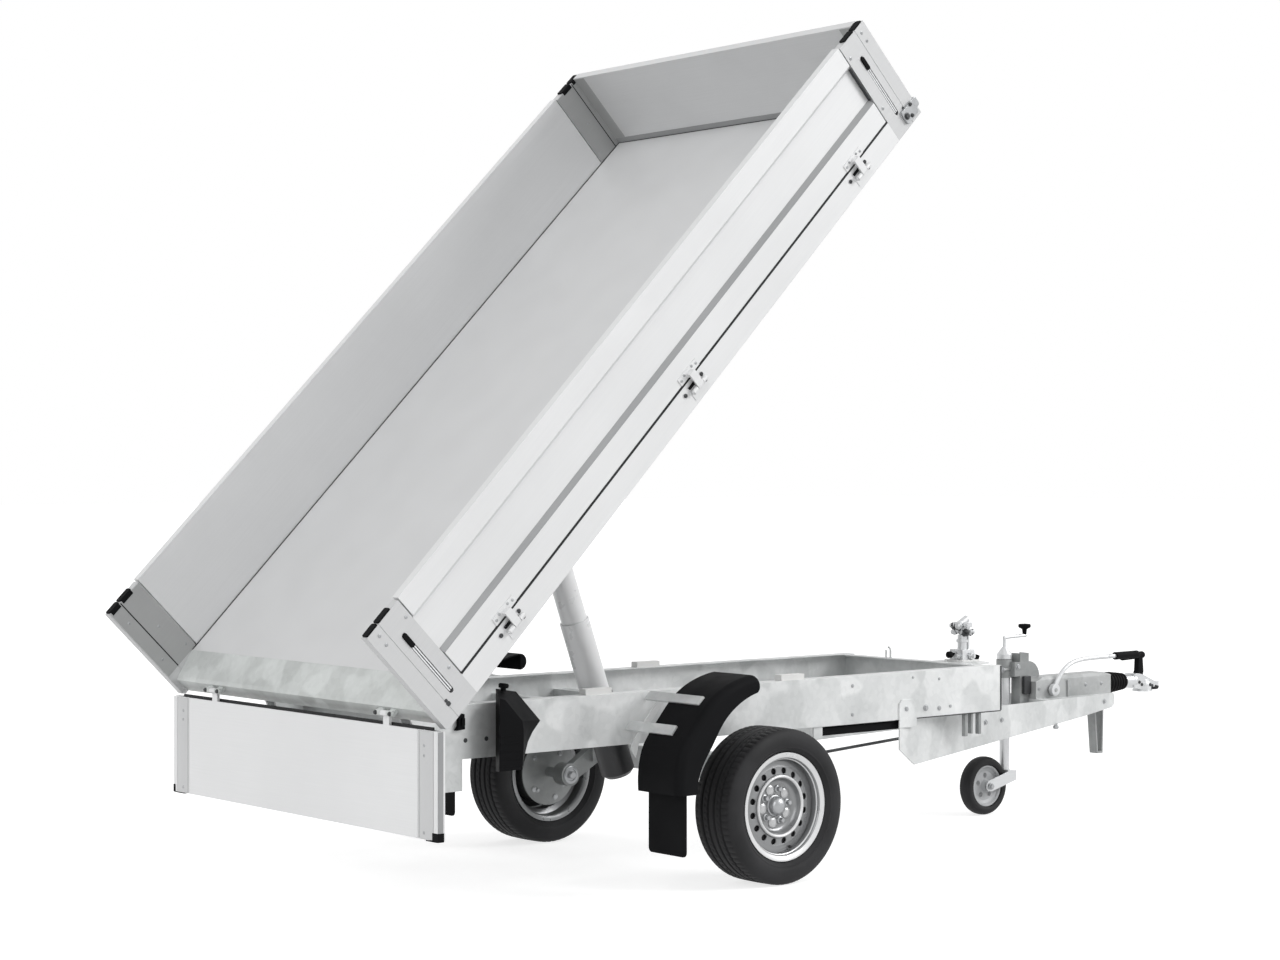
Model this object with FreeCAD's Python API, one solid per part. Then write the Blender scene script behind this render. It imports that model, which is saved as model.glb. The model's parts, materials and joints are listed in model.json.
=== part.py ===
import FreeCAD, Part

import math
import os

from FreeCAD import Vector as V

# Single-axle tipping trailer, drawn with the bed raised and the tailgate hanging.
# Working datum: x forward from the axle, y to the left, z up from the ground.
# The parts are written from the centre of the tow ball instead.

# Tow ball
BALL_X = 2755.0
BALL_Z = 470.0
BALL_R = 25.2
SOCKET_WALL = 12.8
SKIRT_DEPTH = 22.0

# Wheels
TRACK = 1272.0
TYRE_R = 262.5
TYRE_W = 196.0
FLANGE_R = 182.5
SEAT_R = 165.0
WELL_R = 146.0
RIM_HALF = 76.0
LIP = 7.0
RIM_WALL = 4.0
DISC_OFFSET = 30.0
DISC_T = 4.0
VENT_COUNT = 16
VENT_R = 10.5
VENT_PITCH_R = 128.0
CENTRE_HOLE_R = 33.0
CAP_R = 30.0
DRUM_R = 118.0
DRUM_DEPTH = 74.0
DRUM_WALL = 8.0
SPINDLE_R = 18.0

# Running clearances
PIN_GAP = 0.06
SLIDE_GAP = 1.0
SIDE_GAP = 10.0

# Axle
AXLE_X = 140.0
AXLE_Z = 345.0
AXLE_SIZE = 84.0
AXLE_WALL = 5.0
AXLE_END = 432.0
SEAT_HALF = 90.0
YOKE_L = 60.0
YOKE_DROP = 70.0
BRAKE_ROD_R = 6.0
ARM_IN = AXLE_END + 8.0
ARM_T = 34.0
ARM_ROOT_R = 46.0
HUB_R = 42.0

# Half the width over the chassis beams
BEAM_Y = 420.0

# Mudguards, outer and inner edges front to rear as (x, z)
GUARD_OUTER = [(-160, 713), (-248, 692), (-330, 649), (-415, 560), (-470, 488), (-491, 415), (-492, 340)]
GUARD_INNER = [(-156, 654), (-232, 622), (-300, 566), (-348, 496), (-392, 430), (-414, 340)]
GUARD_NOSE = 0.42
GUARD_ROUND = 28.0
GUARD_T = 5.0
GUARD_IN = TRACK / 2 - TYRE_W / 2
GUARD_OUT = TRACK / 2 + TYRE_W / 2 + 11.0
FLAP_X = -454.0
FLAP_T = 5.0
FLAP_FOOT = 138.0
FLAP_INSET = 8.0
FLAP_ROUND = 16.0

# Mudguard brackets: the plate's outline behind the guard's upper run as (x, z)
BRACKET_Y = (BEAM_Y + GUARD_IN) / 2
BRACKET_T = 4.0
BRACKET_OUTLINE = [(-330, 652), (-372, 610), (-415, 562), (-470, 492), (-478, 470), (-455, 440), (-440, 495),
                   (-385, 560), (-345, 605)]
STRAP_T = 9.0
UPPER_STRAP = 54.0
LOWER_STRAP = 19.0

# Chassis beams
BEAM_Z0 = 478.0
BEAM_Z1 = 650.0
BEAM_X0 = -1270.0
BEAM_X1 = 1400.0
BEAM_T = 4.0
FLANGE_W = 50.0
CROSS_W = 50.0
CROSS_REAR = -1155.0
CROSS_MIDDLE = 665.0

# Pump and its plate ahead of the front cross member
PUMP_OUT = 74.0
PUMP_Y = -150.0
PUMP_PLATE_L = 130.0
PUMP_PLATE_W = 180.0
PUMP_PLATE_T = 8.0
BAIL_Y = 153.0

# Bed hinge and raised angle
HINGE_X = -1306.0
HINGE_Z = 668.0
HINGE_U = 128.0
HINGE_V = -57.0
TILT = 45.0
PIN_R = 12.0
LUG_R = 28.0
LUG_GAP = 12.0
EAR_T = 8.0
LUG_Y0 = BEAM_Y - FLANGE_W + LUG_GAP
LUG_Y1 = BEAM_Y - LUG_GAP

# Bed, given flat: u forward from its rear edge, v up from the rails' underside
BED_L = 2850.0
BED_W = 1578.0
RAIL_H = 84.0
RAIL_T = 2.5
FLOOR_T = 1.5
FLOOR_V = 86.0
WALL_T = 30.0
SKIN = 2.5
WALL_H = 322.0
WALL_V = 88.0
RECESS = 15.0
WALL_TOP_BAND = 76.0
WALL_FOOT_BAND = 84.0
END_BAND = 82.0
END_STRIP = 22.0
POST_B = 56.0
POST_A = 97.0
POST_U = POST_B + POST_A
GROOVE = 1.2
CAP_H = 6.0
SLOT_U = 95.0
SLOT_W = 18.0
SLOT_V0 = 68.0
SLOT_V1 = 322.0
POST_T = 4.0
POST_LEG = 70.0
POST_GAP = 5.0
POST_NICK = 9.0
SILL_DEPTH = 130.0
SILL_FACE = 18.0
SILL_T = 4.0
MEMBER_W = 40.0
MEMBER_T = 2.0
MEMBER_COUNT = 7
SUB_V = -50.0
SUB_TOP = 20.0
SUB_T = 3.0
SUB_U0 = HINGE_U - 16.0
SUB_U1 = BED_L - 70.0

# Side wall pivots
PIVOT_OUT = 12.0
WALL_PIVOT_Y = BED_W / 2 + PIVOT_OUT
WALL_PIVOT_V = 45.0
WALL_PIVOT_R = 4.5
KNUCKLE_R = 8.5
KNUCKLE_L = 22.0
LEAF_HALF = 14.0
HINGE_PAD_T = 2.0
PLATE_HALF_U = 52.0
HINGE_FROM_END = 370.0
WALL_HINGES = (395.0, BED_L / 2 + 10.0, BED_L - HINGE_FROM_END)

# Tailgate
GATE_W = BED_W - 2 * SIDE_GAP
GATE_T = 27.0
GATE_H = 326.0
GATE_V = 84.0
GATE_IN = -2.0
GATE_PIVOT_U = 1.7
GATE_PIVOT_V = 47.9
GATE_PIVOT_R = 5.0
GATE_KNUCKLE_R = 9.0
GATE_LEAF_HALF = 16.0
GATE_KNUCKLE_L = 28.0
GATE_HINGE_Y = 508.0

# Ram
TRUNNION_X = -216.0
TRUNNION_Z = 547.0
RAM_LEAN = 20.09
RAM_OPEN = 941.2
RAM_STROKE = 274.3
BARREL_R = 60.0
BARREL_FOOT = -245.0
BARREL_TOP = 60.0
BARREL_BASE = 8.0
BARREL_BEVEL = 14.0
STAGE_R = (52.0, 46.0, 40.0)
STAGE_WALL = 6.0
COLLAR_STEP = 6.0
RAM_EYE_R = 28.0
RAM_EYE_HALF = 28.0
RAM_PIN_R = 12.5
RAM_EAR_IN = 62.0
RAM_EAR_T = 10.0
TRUNNION_R = 15.0
CRADLE_IN = 88.0
CRADLE_T = 12.0
CRADLE_REACH = 116.0

# Drawbar: each plate's outline as (distance along it, z)
BAR_X0 = 845.0
BAR_X1 = 2489.0
BAR_Y1 = 68.0
BAR_T = 5.0
NOSE_TOP = 458.0
NOSE_FOOT = 403.0
BAR_FOOT = [(0, 369), (100, 305), (724, 342), (1383, 382)]
EAR_L = 90.0
EAR_H = 72.0

# Overrun unit and coupling
HOUSE_X0 = 2022.0
HOUSE_X1 = 2490.0
HOUSE_W = 96.0
HOUSE_TOP = 546.0
HOUSE_BEVEL = 12.0
SHAFT_Z = 496.0
BORE_R = 26.0
HEAD_X0 = 2622.0
NECK_R = 30.0
BOOT_R = 46.0
BOOT_FOLDS = 7
HANDLE_RISE = 84.0

# Hand brake lever
LEVER_X = 2118.0
LEVER_Y = -62.0
LEVER_Z = 492.0
LEVER_PIN_R = 8.0
LEVER_HUB_R = 24.0
LEVER_HUB_HALF = 9.0
LEVER_R = 9.0
GRIP_R = 16.0
GRIP_L = 140.0
LEVER_PATH = [(2118, 492), (2146, 540), (2196, 584), (2270, 606), (2350, 611), (2425, 612), (2500, 612)]

# Jockey wheel
JOCKEY_X = 1933.0
JOCKEY_Y = 43.0
JOCKEY_R = 117.0
JOCKEY_W = 60.0
JOCKEY_HOLES = 5
JOCKEY_HOLE_R = 10.0
JOCKEY_HOLE_PITCH_R = 42.0
TRAIL = 128.0
TUBE_R = 24.0
TUBE_WALL = 3.0
STEM_R = 20.0
STEM_FOOT = 172.0
STEM_TOP = 500.0
SWIVEL_R = 10.0
TUBE_FOOT = 330.0
TUBE_TOP = 640.0
CRANK_Z = 708.0
CRANK_REACH = 122.0
FORK_T = 5.0
FORK_GAP = 6.0
TIE_X = JOCKEY_X + 85.0
QUADRANT_R = 64.0

# Rear lamp carrier
CARRIER_X = -1400.0
CARRIER_FOOT = 378.0
CARRIER_FRONT = -1116.0
CARRIER_TOP = 518.0
CARRIER_T = 4.0
CARRIER_HALF = 700.0
LAMP_Y0 = 480.0
LAMP_Y1 = 690.0
LAMP_T = 24.0
LAMP_H = 95.0
PLATE_HALF = 265.0
PLATE_H = 110.0
PLATE_T = 10.0

# Wheel chock: its base on the beam and its narrower outer face, as (x, z)
CHOCK_T = 82.0
CHOCK_BASE = [(-985, 694), (-904, 680), (-806, 581), (-838, 545), (-856, 515), (-869, 473), (-878, 430), (-985, 430)]
CHOCK_TOP = [(-1029, 671), (-1009, 665), (-941, 594), (-936, 570), (-935, 545), (-936, 500), (-941, 440), (-1032, 440)]
PAD_AT = (-556.0, 323.0)
PAD_L = 110.0
PAD_W = 34.0
PAD_H = 20.0


def box(x0, x1, y0, y1, z0, z1):
    return Part.makeBox(x1 - x0, y1 - y0, z1 - z0, V(x0, y0, z0))


def rod(start, end, radius):
    axis = end - start
    return Part.makeCylinder(radius, axis.Length, start, axis)


def across(x, z, y0, y1, radius):
    return rod(V(x, y0, z), V(x, y1, z), radius)


def fuse(shapes):
    whole = shapes[0]
    for extra in shapes[1:]:
        whole = whole.fuse(extra)
    return whole.removeSplitter()


def side_plate(points, y0, y1):
    loop = [V(x, y0, z) for x, z in points]
    wire = Part.makePolygon(loop + [loop[0]])
    return Part.Face(wire).extrude(V(0, y1 - y0, 0))


def cross_plate(points, x0, x1):
    loop = [V(x0, y, z) for y, z in points]
    wire = Part.makePolygon(loop + [loop[0]])
    return Part.Face(wire).extrude(V(x1 - x0, 0, 0))


def curve(points, y):
    line = Part.BSplineCurve()
    line.interpolate([V(x, y, z) for x, z in points])
    return line.toShape()


def segment(a, b, y):
    return Part.makeLine(V(a[0], y, a[1]), V(b[0], y, b[1]))


def mirrored(shape):
    return shape.mirror(V(0, 0, 0), V(0, 1, 0))


def both_sides(shape):
    return Part.makeCompound([shape, mirrored(shape)])


def turned(shape, centre, axis, angle):
    copy = shape.copy()
    copy.rotate(centre, axis, angle)
    return copy


def spun(profile, centre, side):
    # profile points are (distance outboard of the wheel plane, radius)
    loop = [V(centre.x, centre.y + side * w, centre.z + r) for w, r in profile]
    face = Part.Face(Part.makePolygon(loop + [loop[0]]))
    return face.revolve(centre, V(0, 1, 0), 360)


def raised(shape):
    return turned(shape, V(HINGE_X, 0, HINGE_Z), V(0, -1, 0), TILT)


def bed_x(u):
    return HINGE_X - HINGE_U + u


def bed_z(v):
    return HINGE_Z - HINGE_V + v


def bed_box(u0, u1, y0, y1, v0, v1):
    return box(bed_x(u0), bed_x(u1), y0, y1, bed_z(v0), bed_z(v1))


# Chassis


def beam():
    outer = box(BEAM_X0, BEAM_X1, BEAM_Y - FLANGE_W, BEAM_Y, BEAM_Z0, BEAM_Z1)
    inner = box(BEAM_X0 - 1, BEAM_X1 + 1, BEAM_Y - FLANGE_W - 1, BEAM_Y - BEAM_T,
                BEAM_Z0 + BEAM_T, BEAM_Z1 - BEAM_T)
    return outer.cut(inner)


def hinge_ears():
    points = [(HINGE_X - 34, HINGE_Z - 6), (HINGE_X - 34, HINGE_Z + 20), (HINGE_X - 20, HINGE_Z + 34),
              (HINGE_X + 20, HINGE_Z + 34), (HINGE_X + 90, BEAM_Z1 - 8), (HINGE_X + 110, BEAM_Z0 + 20),
              (HINGE_X + 40, BEAM_Z0 + 20)]
    outside = side_plate(points, BEAM_Y, BEAM_Y + EAR_T)
    inside = side_plate(points, BEAM_Y - FLANGE_W - EAR_T, BEAM_Y - FLANGE_W)
    pin = across(HINGE_X, HINGE_Z, BEAM_Y - FLANGE_W - EAR_T, BEAM_Y + EAR_T, PIN_R)
    return fuse([outside, inside, pin])


def chassis_beams():
    side = beam().fuse(hinge_ears()).removeSplitter()
    return both_sides(side)


def cross_channel(x, top):
    half = BEAM_Y - BEAM_T
    foot = BEAM_Z0 + BEAM_T
    outer = box(x - CROSS_W / 2, x + CROSS_W / 2, -half, half, foot, top)
    inner = box(x - CROSS_W / 2 + BEAM_T, x + CROSS_W / 2 + 1, -half - 1, half + 1, foot + BEAM_T, top - BEAM_T)
    return outer.cut(inner)


def cross_members():
    front = turned(cross_channel(0, BEAM_Z1 - BEAM_T), V(0, 0, 0), V(0, 0, 1), 180)
    front.translate(V(BEAM_X1 - CROSS_W / 2, 0, 0))
    top = BEAM_Z1 - BEAM_T
    plate = box(BEAM_X1, BEAM_X1 + PUMP_PLATE_L, PUMP_Y - PUMP_PLATE_W / 2, PUMP_Y + PUMP_PLATE_W / 2,
                top - PUMP_PLATE_T, top)
    web = side_plate([(BEAM_X1, top - PUMP_PLATE_T), (BEAM_X1 + 90, top - PUMP_PLATE_T), (BEAM_X1, top - 90)],
                     PUMP_Y - 4, PUMP_Y + 4)
    front = fuse([front, plate, web, bail_loop(BEAM_X1 - CROSS_W / 2, BAIL_Y, top)])
    rear = cross_channel(CROSS_REAR, BEAM_Z1 - BEAM_T)
    middle = cross_channel(CROSS_MIDDLE, BEAM_Z1 - 60)
    return Part.makeCompound([front, rear, middle, ram_cradle()])


def bail_loop(x, y, z):
    leg = rod(V(x, y + 12, z), V(x, y + 12, z + 30), 4)
    bend = Part.makeTorus(12, 4, V(x, y, z + 30), V(1, 0, 0), -180, 180, 180)
    bend = bend.common(box(x - 9, x + 9, y - 20, y + 20, z + 30, z + 60))
    other = rod(V(x, y - 12, z), V(x, y - 12, z + 30), 4)
    return fuse([leg, other, bend])


def ram_cradle():
    half = BEAM_Y - BEAM_T
    foot = BEAM_Z0 + BEAM_T
    top = foot + 106
    rails = []
    for side in (-1, 1):
        x0 = TRUNNION_X + side * (CRADLE_REACH + 25) - 25
        outer = box(x0, x0 + 50, -half, half, foot, top)
        inner = box(x0 + BEAM_T, x0 + 51, -half - 1, half + 1, foot + BEAM_T, top - BEAM_T)
        rails.append(outer.cut(inner))
    points = [(TRUNNION_X - CRADLE_REACH, foot), (TRUNNION_X + CRADLE_REACH, foot),
              (TRUNNION_X + CRADLE_REACH, top - 10), (TRUNNION_X + 40, TRUNNION_Z + 34),
              (TRUNNION_X - 40, TRUNNION_Z + 34), (TRUNNION_X - CRADLE_REACH, top - 10)]
    plate = side_plate(points, CRADLE_IN, CRADLE_IN + CRADLE_T)
    hole = across(TRUNNION_X, TRUNNION_Z, 0, CRADLE_IN + CRADLE_T + 1, TRUNNION_R + PIN_GAP)
    plate = plate.cut(hole)
    return fuse(rails + [plate, mirrored(plate)])


def bar_y(x):
    share = (x - BAR_X0) / (BAR_X1 - BAR_X0)
    return BEAM_Y + BAR_T - (BEAM_Y + BAR_T - BAR_Y1) * share


def drawbar():
    run = BAR_X1 - BAR_X0
    inward = BEAM_Y + BAR_T - BAR_Y1
    length = math.hypot(run, inward)
    angle = math.degrees(math.atan2(inward, run))
    outline = [(0, BEAM_Z0)] + BAR_FOOT + [(run - 24, NOSE_FOOT - 2), (run, NOSE_FOOT + 12), (run, NOSE_TOP - 8),
                                           (run - 8, NOSE_TOP), (BEAM_X1 - BAR_X0, BEAM_Z0)]
    points = [(BAR_X0 + x * length / run, z) for x, z in outline]
    plate = side_plate(points, 0, BAR_T)
    lip = box(BAR_X0 + 20, BAR_X0 + (BEAM_X1 - BAR_X0), -28, BAR_T, BEAM_Z0 - BAR_T, BEAM_Z0)
    plate = turned(plate.fuse(lip), V(BAR_X0, 0, 0), V(0, 0, 1), -angle)
    plate.translate(V(0, BEAM_Y, 0))
    ear = side_plate([(BAR_X0, BEAM_Z0 - 30), (BAR_X0, BEAM_Z0 + EAR_H - 14), (BAR_X0 + 14, BEAM_Z0 + EAR_H),
                      (BAR_X0 + EAR_L - 20, BEAM_Z0 + EAR_H), (BAR_X0 + EAR_L, BEAM_Z0 + EAR_H - 30),
                      (BAR_X0 + EAR_L, BEAM_Z0 - 30)], BEAM_Y, BEAM_Y + BAR_T)
    side = plate.fuse(ear)
    half = BAR_Y1 - 2
    nose = box(TIE_X, BAR_X1 - 1, -half, half, NOSE_TOP - 6, NOSE_TOP)
    front = box(BAR_X1 - 7, BAR_X1 - 1, -half, half, NOSE_FOOT + 12, NOSE_TOP)
    reach = bar_y(TIE_X + 8) - 2
    tie = box(TIE_X, TIE_X + 8, -reach, reach, NOSE_FOOT - 3, NOSE_TOP)
    return fuse([side, mirrored(side), nose, front, tie])


def foot_support():
    x = BAR_X1 - 34
    top = NOSE_TOP - 6.3
    points = [(x - 42, top), (x - 34, top), (x - 12, 214), (x + 10, 214), (x + 16, top), (x + 24, top),
              (x + 17, 206), (x - 19, 206)]
    return side_plate(points, -20, 20)


def overrun_housing():
    half = HOUSE_W / 2
    bevel = HOUSE_BEVEL
    section = [(-half, NOSE_TOP), (half, NOSE_TOP), (half, HOUSE_TOP - bevel), (half - bevel, HOUSE_TOP),
               (bevel - half, HOUSE_TOP), (-half, HOUSE_TOP - bevel)]
    body = cross_plate(section, HOUSE_X0, HOUSE_X1)
    slope = side_plate([(HOUSE_X0 - 1, HOUSE_TOP - 18), (HOUSE_X0 + 60, HOUSE_TOP + 1), (HOUSE_X0 - 1, HOUSE_TOP + 1)],
                       -half - 1, half + 1)
    muzzle = side_plate([(HOUSE_X1 - 40, HOUSE_TOP + 1), (HOUSE_X1 + 1, HOUSE_TOP - 10),
                         (HOUSE_X1 + 1, HOUSE_TOP + 1)], -half - 1, half + 1)
    body = body.cut(slope).cut(muzzle)
    bore = rod(V(HOUSE_X0 + 12, 0, SHAFT_Z), V(HOUSE_X1 + 1, 0, SHAFT_Z), BORE_R)
    rib = box(HOUSE_X0 + 190, HOUSE_X0 + 206, -half - 6, half + 6, NOSE_TOP, HOUSE_TOP - 20)
    pin = rod(V(LEVER_X, 4 - half, LEVER_Z), V(LEVER_X, LEVER_Y - LEVER_HUB_HALF - 2, LEVER_Z), LEVER_PIN_R)
    return fuse([body.fuse(rib).cut(bore), pin])


def bellows():
    x0 = HOUSE_X1
    step = (HEAD_X0 - x0) / BOOT_FOLDS
    rings = [V(x0, 0, SHAFT_Z)]
    for i in range(BOOT_FOLDS):
        crest = BOOT_R - 8 * abs(i - 2.0) / BOOT_FOLDS - i
        rings.append(V(x0 + i * step, 0, SHAFT_Z + crest - 7))
        rings.append(V(x0 + (i + 0.35) * step, 0, SHAFT_Z + crest))
        rings.append(V(x0 + (i + 0.65) * step, 0, SHAFT_Z + crest))
    rings.append(V(HEAD_X0, 0, SHAFT_Z + NECK_R + 2))
    rings.append(V(HEAD_X0, 0, SHAFT_Z))
    face = Part.Face(Part.makePolygon(rings + [rings[0]]))
    boot = face.revolve(V(x0, 0, SHAFT_Z), V(1, 0, 0), 360)
    return boot.cut(box(x0 - 1, BAR_X1 + 0.3, -BOOT_R - 1, BOOT_R + 1, NOSE_TOP - 20, NOSE_TOP))


def coupling_head():
    neck = rod(V(HEAD_X0, 0, SHAFT_Z), V(HEAD_X0 + 70, 0, SHAFT_Z), NECK_R)
    outer = BALL_R + SOCKET_WALL
    shell = Part.makeSphere(outer, V(BALL_X, 0, BALL_Z))
    shell = shell.common(box(BALL_X - 60, BALL_X + 60, -60, 60, BALL_Z - 2, BALL_Z + 60))
    skirt = Part.makeCylinder(outer, SKIRT_DEPTH + 2, V(BALL_X, 0, BALL_Z - SKIRT_DEPTH))
    rim = Part.makeCylinder(outer + 4, 5, V(BALL_X, 0, BALL_Z - SKIRT_DEPTH))
    top = [(HEAD_X0 + 50, SHAFT_Z + 29), (HEAD_X0 + 96, SHAFT_Z + 27), (BALL_X, SHAFT_Z + 14),
           (BALL_X + 40, SHAFT_Z - 2), (BALL_X + 72, SHAFT_Z - 12)]
    foot = [(HEAD_X0 + 50, SHAFT_Z - 27), (BALL_X - 50, BALL_Z - 10), (BALL_X, BALL_Z - 10),
            (BALL_X + 72, BALL_Z - 4)]
    wire = Part.Wire([curve(top, -25), segment(top[-1], foot[-1], -25), curve(foot[::-1], -25),
                      segment(foot[0], top[0], -25)])
    bridge = Part.Face(wire).extrude(V(0, 50, 0))
    nose = rod(V(BALL_X + 66, 0, BALL_Z - 6), V(BALL_X + 66, 0, SHAFT_Z - 10), 28)
    head = fuse([neck, shell, skirt, rim, bridge, nose])
    socket = Part.makeSphere(BALL_R, V(BALL_X, 0, BALL_Z))
    socket = socket.fuse(Part.makeCylinder(BALL_R, 40, V(BALL_X, 0, BALL_Z - 40)))
    return head.cut(socket)


def coupling_handle():
    foot = SHAFT_Z + 22
    z = foot + HANDLE_RISE
    neck = side_plate([(BALL_X - 48, foot), (BALL_X - 12, foot - 8), (BALL_X - 6, foot + 16), (BALL_X - 12, z - 2),
                       (BALL_X - 36, z - 2), (BALL_X - 40, foot + 20)], -12, 12)
    grip = rod(V(BALL_X - 130, 0, z - 4), V(BALL_X - 4, 0, z), 15)
    ends = [Part.makeSphere(15, V(BALL_X - 130, 0, z - 4)), Part.makeSphere(15, V(BALL_X - 4, 0, z))]
    handle = fuse([neck, grip] + ends)
    clear = rod(V(HEAD_X0, 0, SHAFT_Z), V(HEAD_X0 + 200, 0, SHAFT_Z), 1)
    return handle.cut(coupling_head()).cut(clear)


def brake_lever():
    line = curve(LEVER_PATH, LEVER_Y)
    heading = line.tangentAt(line.FirstParameter)
    ring = Part.Wire([Part.makeCircle(LEVER_R, V(LEVER_X, LEVER_Y, LEVER_Z), heading)])
    tube = Part.Wire([line]).makePipeShell([ring], True, True)
    tube = Part.Solid(tube) if tube.ShapeType != "Solid" else tube
    hub = across(LEVER_X, LEVER_Z, LEVER_Y - LEVER_HUB_HALF, LEVER_Y + LEVER_HUB_HALF, LEVER_HUB_R)
    hole = across(LEVER_X, LEVER_Z, LEVER_Y - LEVER_HUB_HALF - 1, LEVER_Y + LEVER_HUB_HALF + 1, LEVER_PIN_R + PIN_GAP)
    return fuse([tube, hub]).cut(hole)


def brake_grip():
    line = curve(LEVER_PATH, LEVER_Y)
    heading = line.tangentAt(line.LastParameter)
    start = line.valueAt(line.LastParameter)
    end = start + heading * GRIP_L
    return fuse([rod(start, end, GRIP_R), Part.makeSphere(GRIP_R, end)])


def jockey_bracket():
    y0 = JOCKEY_Y - 56
    y1 = JOCKEY_Y - 8
    foot = NOSE_TOP - 60
    top = TUBE_TOP + 5
    plate = box(JOCKEY_X + 32, TIE_X, y0, y1, foot, top)
    shell = plate.cut(box(JOCKEY_X + 36, TIE_X - 4, y0 + 4, y1 + 1, foot - 1, top + 1))
    ear = across(TIE_X, HOUSE_TOP + 1, y0, y0 + FORK_T, QUADRANT_R)
    ear = ear.common(box(TIE_X - 1, TIE_X + QUADRANT_R, y0 - 1, y0 + FORK_T, HOUSE_TOP + 1, HOUSE_TOP + QUADRANT_R + 1))
    clamp = rod(V(JOCKEY_X, JOCKEY_Y, TUBE_TOP - 94), V(JOCKEY_X, JOCKEY_Y, TUBE_TOP - 20), TUBE_R + 9)
    arm = box(JOCKEY_X, JOCKEY_X + 34, y0, JOCKEY_Y, TUBE_TOP - 88, TUBE_TOP - 30)
    bolt = rod(V(JOCKEY_X - 46, JOCKEY_Y - 30, TUBE_TOP - 60), V(JOCKEY_X + 34, JOCKEY_Y - 30, TUBE_TOP - 60), 7)
    bore = rod(V(JOCKEY_X, JOCKEY_Y, foot), V(JOCKEY_X, JOCKEY_Y, top + 20), TUBE_R)
    return fuse([shell, ear, clamp, arm, bolt]).cut(bore)


def jockey_tube():
    tube = rod(V(JOCKEY_X, JOCKEY_Y, TUBE_FOOT), V(JOCKEY_X, JOCKEY_Y, TUBE_TOP), TUBE_R)
    inside = rod(V(JOCKEY_X, JOCKEY_Y, TUBE_FOOT - 1), V(JOCKEY_X, JOCKEY_Y, TUBE_TOP - 12), TUBE_R - TUBE_WALL)
    collar = rod(V(JOCKEY_X, JOCKEY_Y, TUBE_TOP - 18), V(JOCKEY_X, JOCKEY_Y, TUBE_TOP), TUBE_R + 7)
    hood = Part.makeCone(TUBE_R + 7, 9, 30, V(JOCKEY_X, JOCKEY_Y, TUBE_TOP))
    shaft = rod(V(JOCKEY_X, JOCKEY_Y, TUBE_TOP + 20), V(JOCKEY_X, JOCKEY_Y, CRANK_Z), 7)
    elbow = Part.makeSphere(7, V(JOCKEY_X, JOCKEY_Y, CRANK_Z))
    arm = rod(V(JOCKEY_X, JOCKEY_Y, CRANK_Z), V(JOCKEY_X + CRANK_REACH + 8, JOCKEY_Y, CRANK_Z + 4), 7)
    return fuse([tube.cut(inside), collar, hood, shaft, elbow, arm])


def jockey_stem():
    stem = rod(V(JOCKEY_X, JOCKEY_Y, STEM_FOOT), V(JOCKEY_X, JOCKEY_Y, STEM_TOP), STEM_R)
    inside = rod(V(JOCKEY_X, JOCKEY_Y, STEM_FOOT + 24), V(JOCKEY_X, JOCKEY_Y, STEM_TOP + 1), STEM_R - TUBE_WALL)
    seat = rod(V(JOCKEY_X, JOCKEY_Y, STEM_FOOT - 1), V(JOCKEY_X, JOCKEY_Y, STEM_FOOT + 16), SWIVEL_R + PIN_GAP)
    return stem.cut(inside).cut(seat)


def jockey_fork():
    half = JOCKEY_W / 2 + FORK_GAP
    top = STEM_FOOT - 2
    wide = half + FORK_T
    bridge = box(JOCKEY_X - 12, JOCKEY_X + 26, JOCKEY_Y - wide, JOCKEY_Y + wide, top - 12, top)
    swivel = rod(V(JOCKEY_X, JOCKEY_Y, top - 6), V(JOCKEY_X, JOCKEY_Y, STEM_FOOT + 12), SWIVEL_R)
    axle_x = JOCKEY_X - TRAIL
    points = [(JOCKEY_X + 26, top), (JOCKEY_X - 12, top), (axle_x - 12, JOCKEY_R + 22), (axle_x - 22, JOCKEY_R + 8),
              (axle_x - 22, JOCKEY_R - 8), (axle_x - 12, JOCKEY_R - 20), (axle_x + 12, JOCKEY_R - 20),
              (JOCKEY_X + 26, top - 38)]
    arm = side_plate(points, JOCKEY_Y + half, JOCKEY_Y + wide)
    other = side_plate(points, JOCKEY_Y - wide, JOCKEY_Y - half)
    axle = across(axle_x, JOCKEY_R, JOCKEY_Y - wide - 4, JOCKEY_Y + wide + 4, 8)
    return fuse([bridge, swivel, arm, other, axle])


def jockey_rim():
    centre = V(JOCKEY_X - TRAIL, JOCKEY_Y, JOCKEY_R)
    half = JOCKEY_W / 2
    profile = [(1 - half, 8.1), (half - 1, 8.1), (half - 1, 20), (12, 25), (9, 58), (14, 70), (half - 8, 76),
               (half - 8, 82), (8 - half, 82), (8 - half, 76), (-14, 70), (-9, 58), (-12, 25), (1 - half, 20)]
    rim = spun(profile, centre, 1)
    for i in range(JOCKEY_HOLES):
        angle = math.radians(360.0 * i / JOCKEY_HOLES)
        x = centre.x + JOCKEY_HOLE_PITCH_R * math.sin(angle)
        z = centre.z + JOCKEY_HOLE_PITCH_R * math.cos(angle)
        rim = rim.cut(across(x, z, JOCKEY_Y - half, JOCKEY_Y + half, JOCKEY_HOLE_R))
    return rim


def jockey_tyre():
    centre = V(JOCKEY_X - TRAIL, JOCKEY_Y, JOCKEY_R)
    half = JOCKEY_W / 2
    edge = half - 8
    profile = [(-edge, 82), (edge, 82), (half - 2, 86), (half, 93), (half, 100), (half - 3, 108), (half - 9, 113),
               (half - 18, 116), (0, JOCKEY_R), (18 - half, 116), (9 - half, 113), (3 - half, 108),
               (-half, 100), (-half, 93), (2 - half, 86)]
    return spun(profile, centre, 1)


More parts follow.
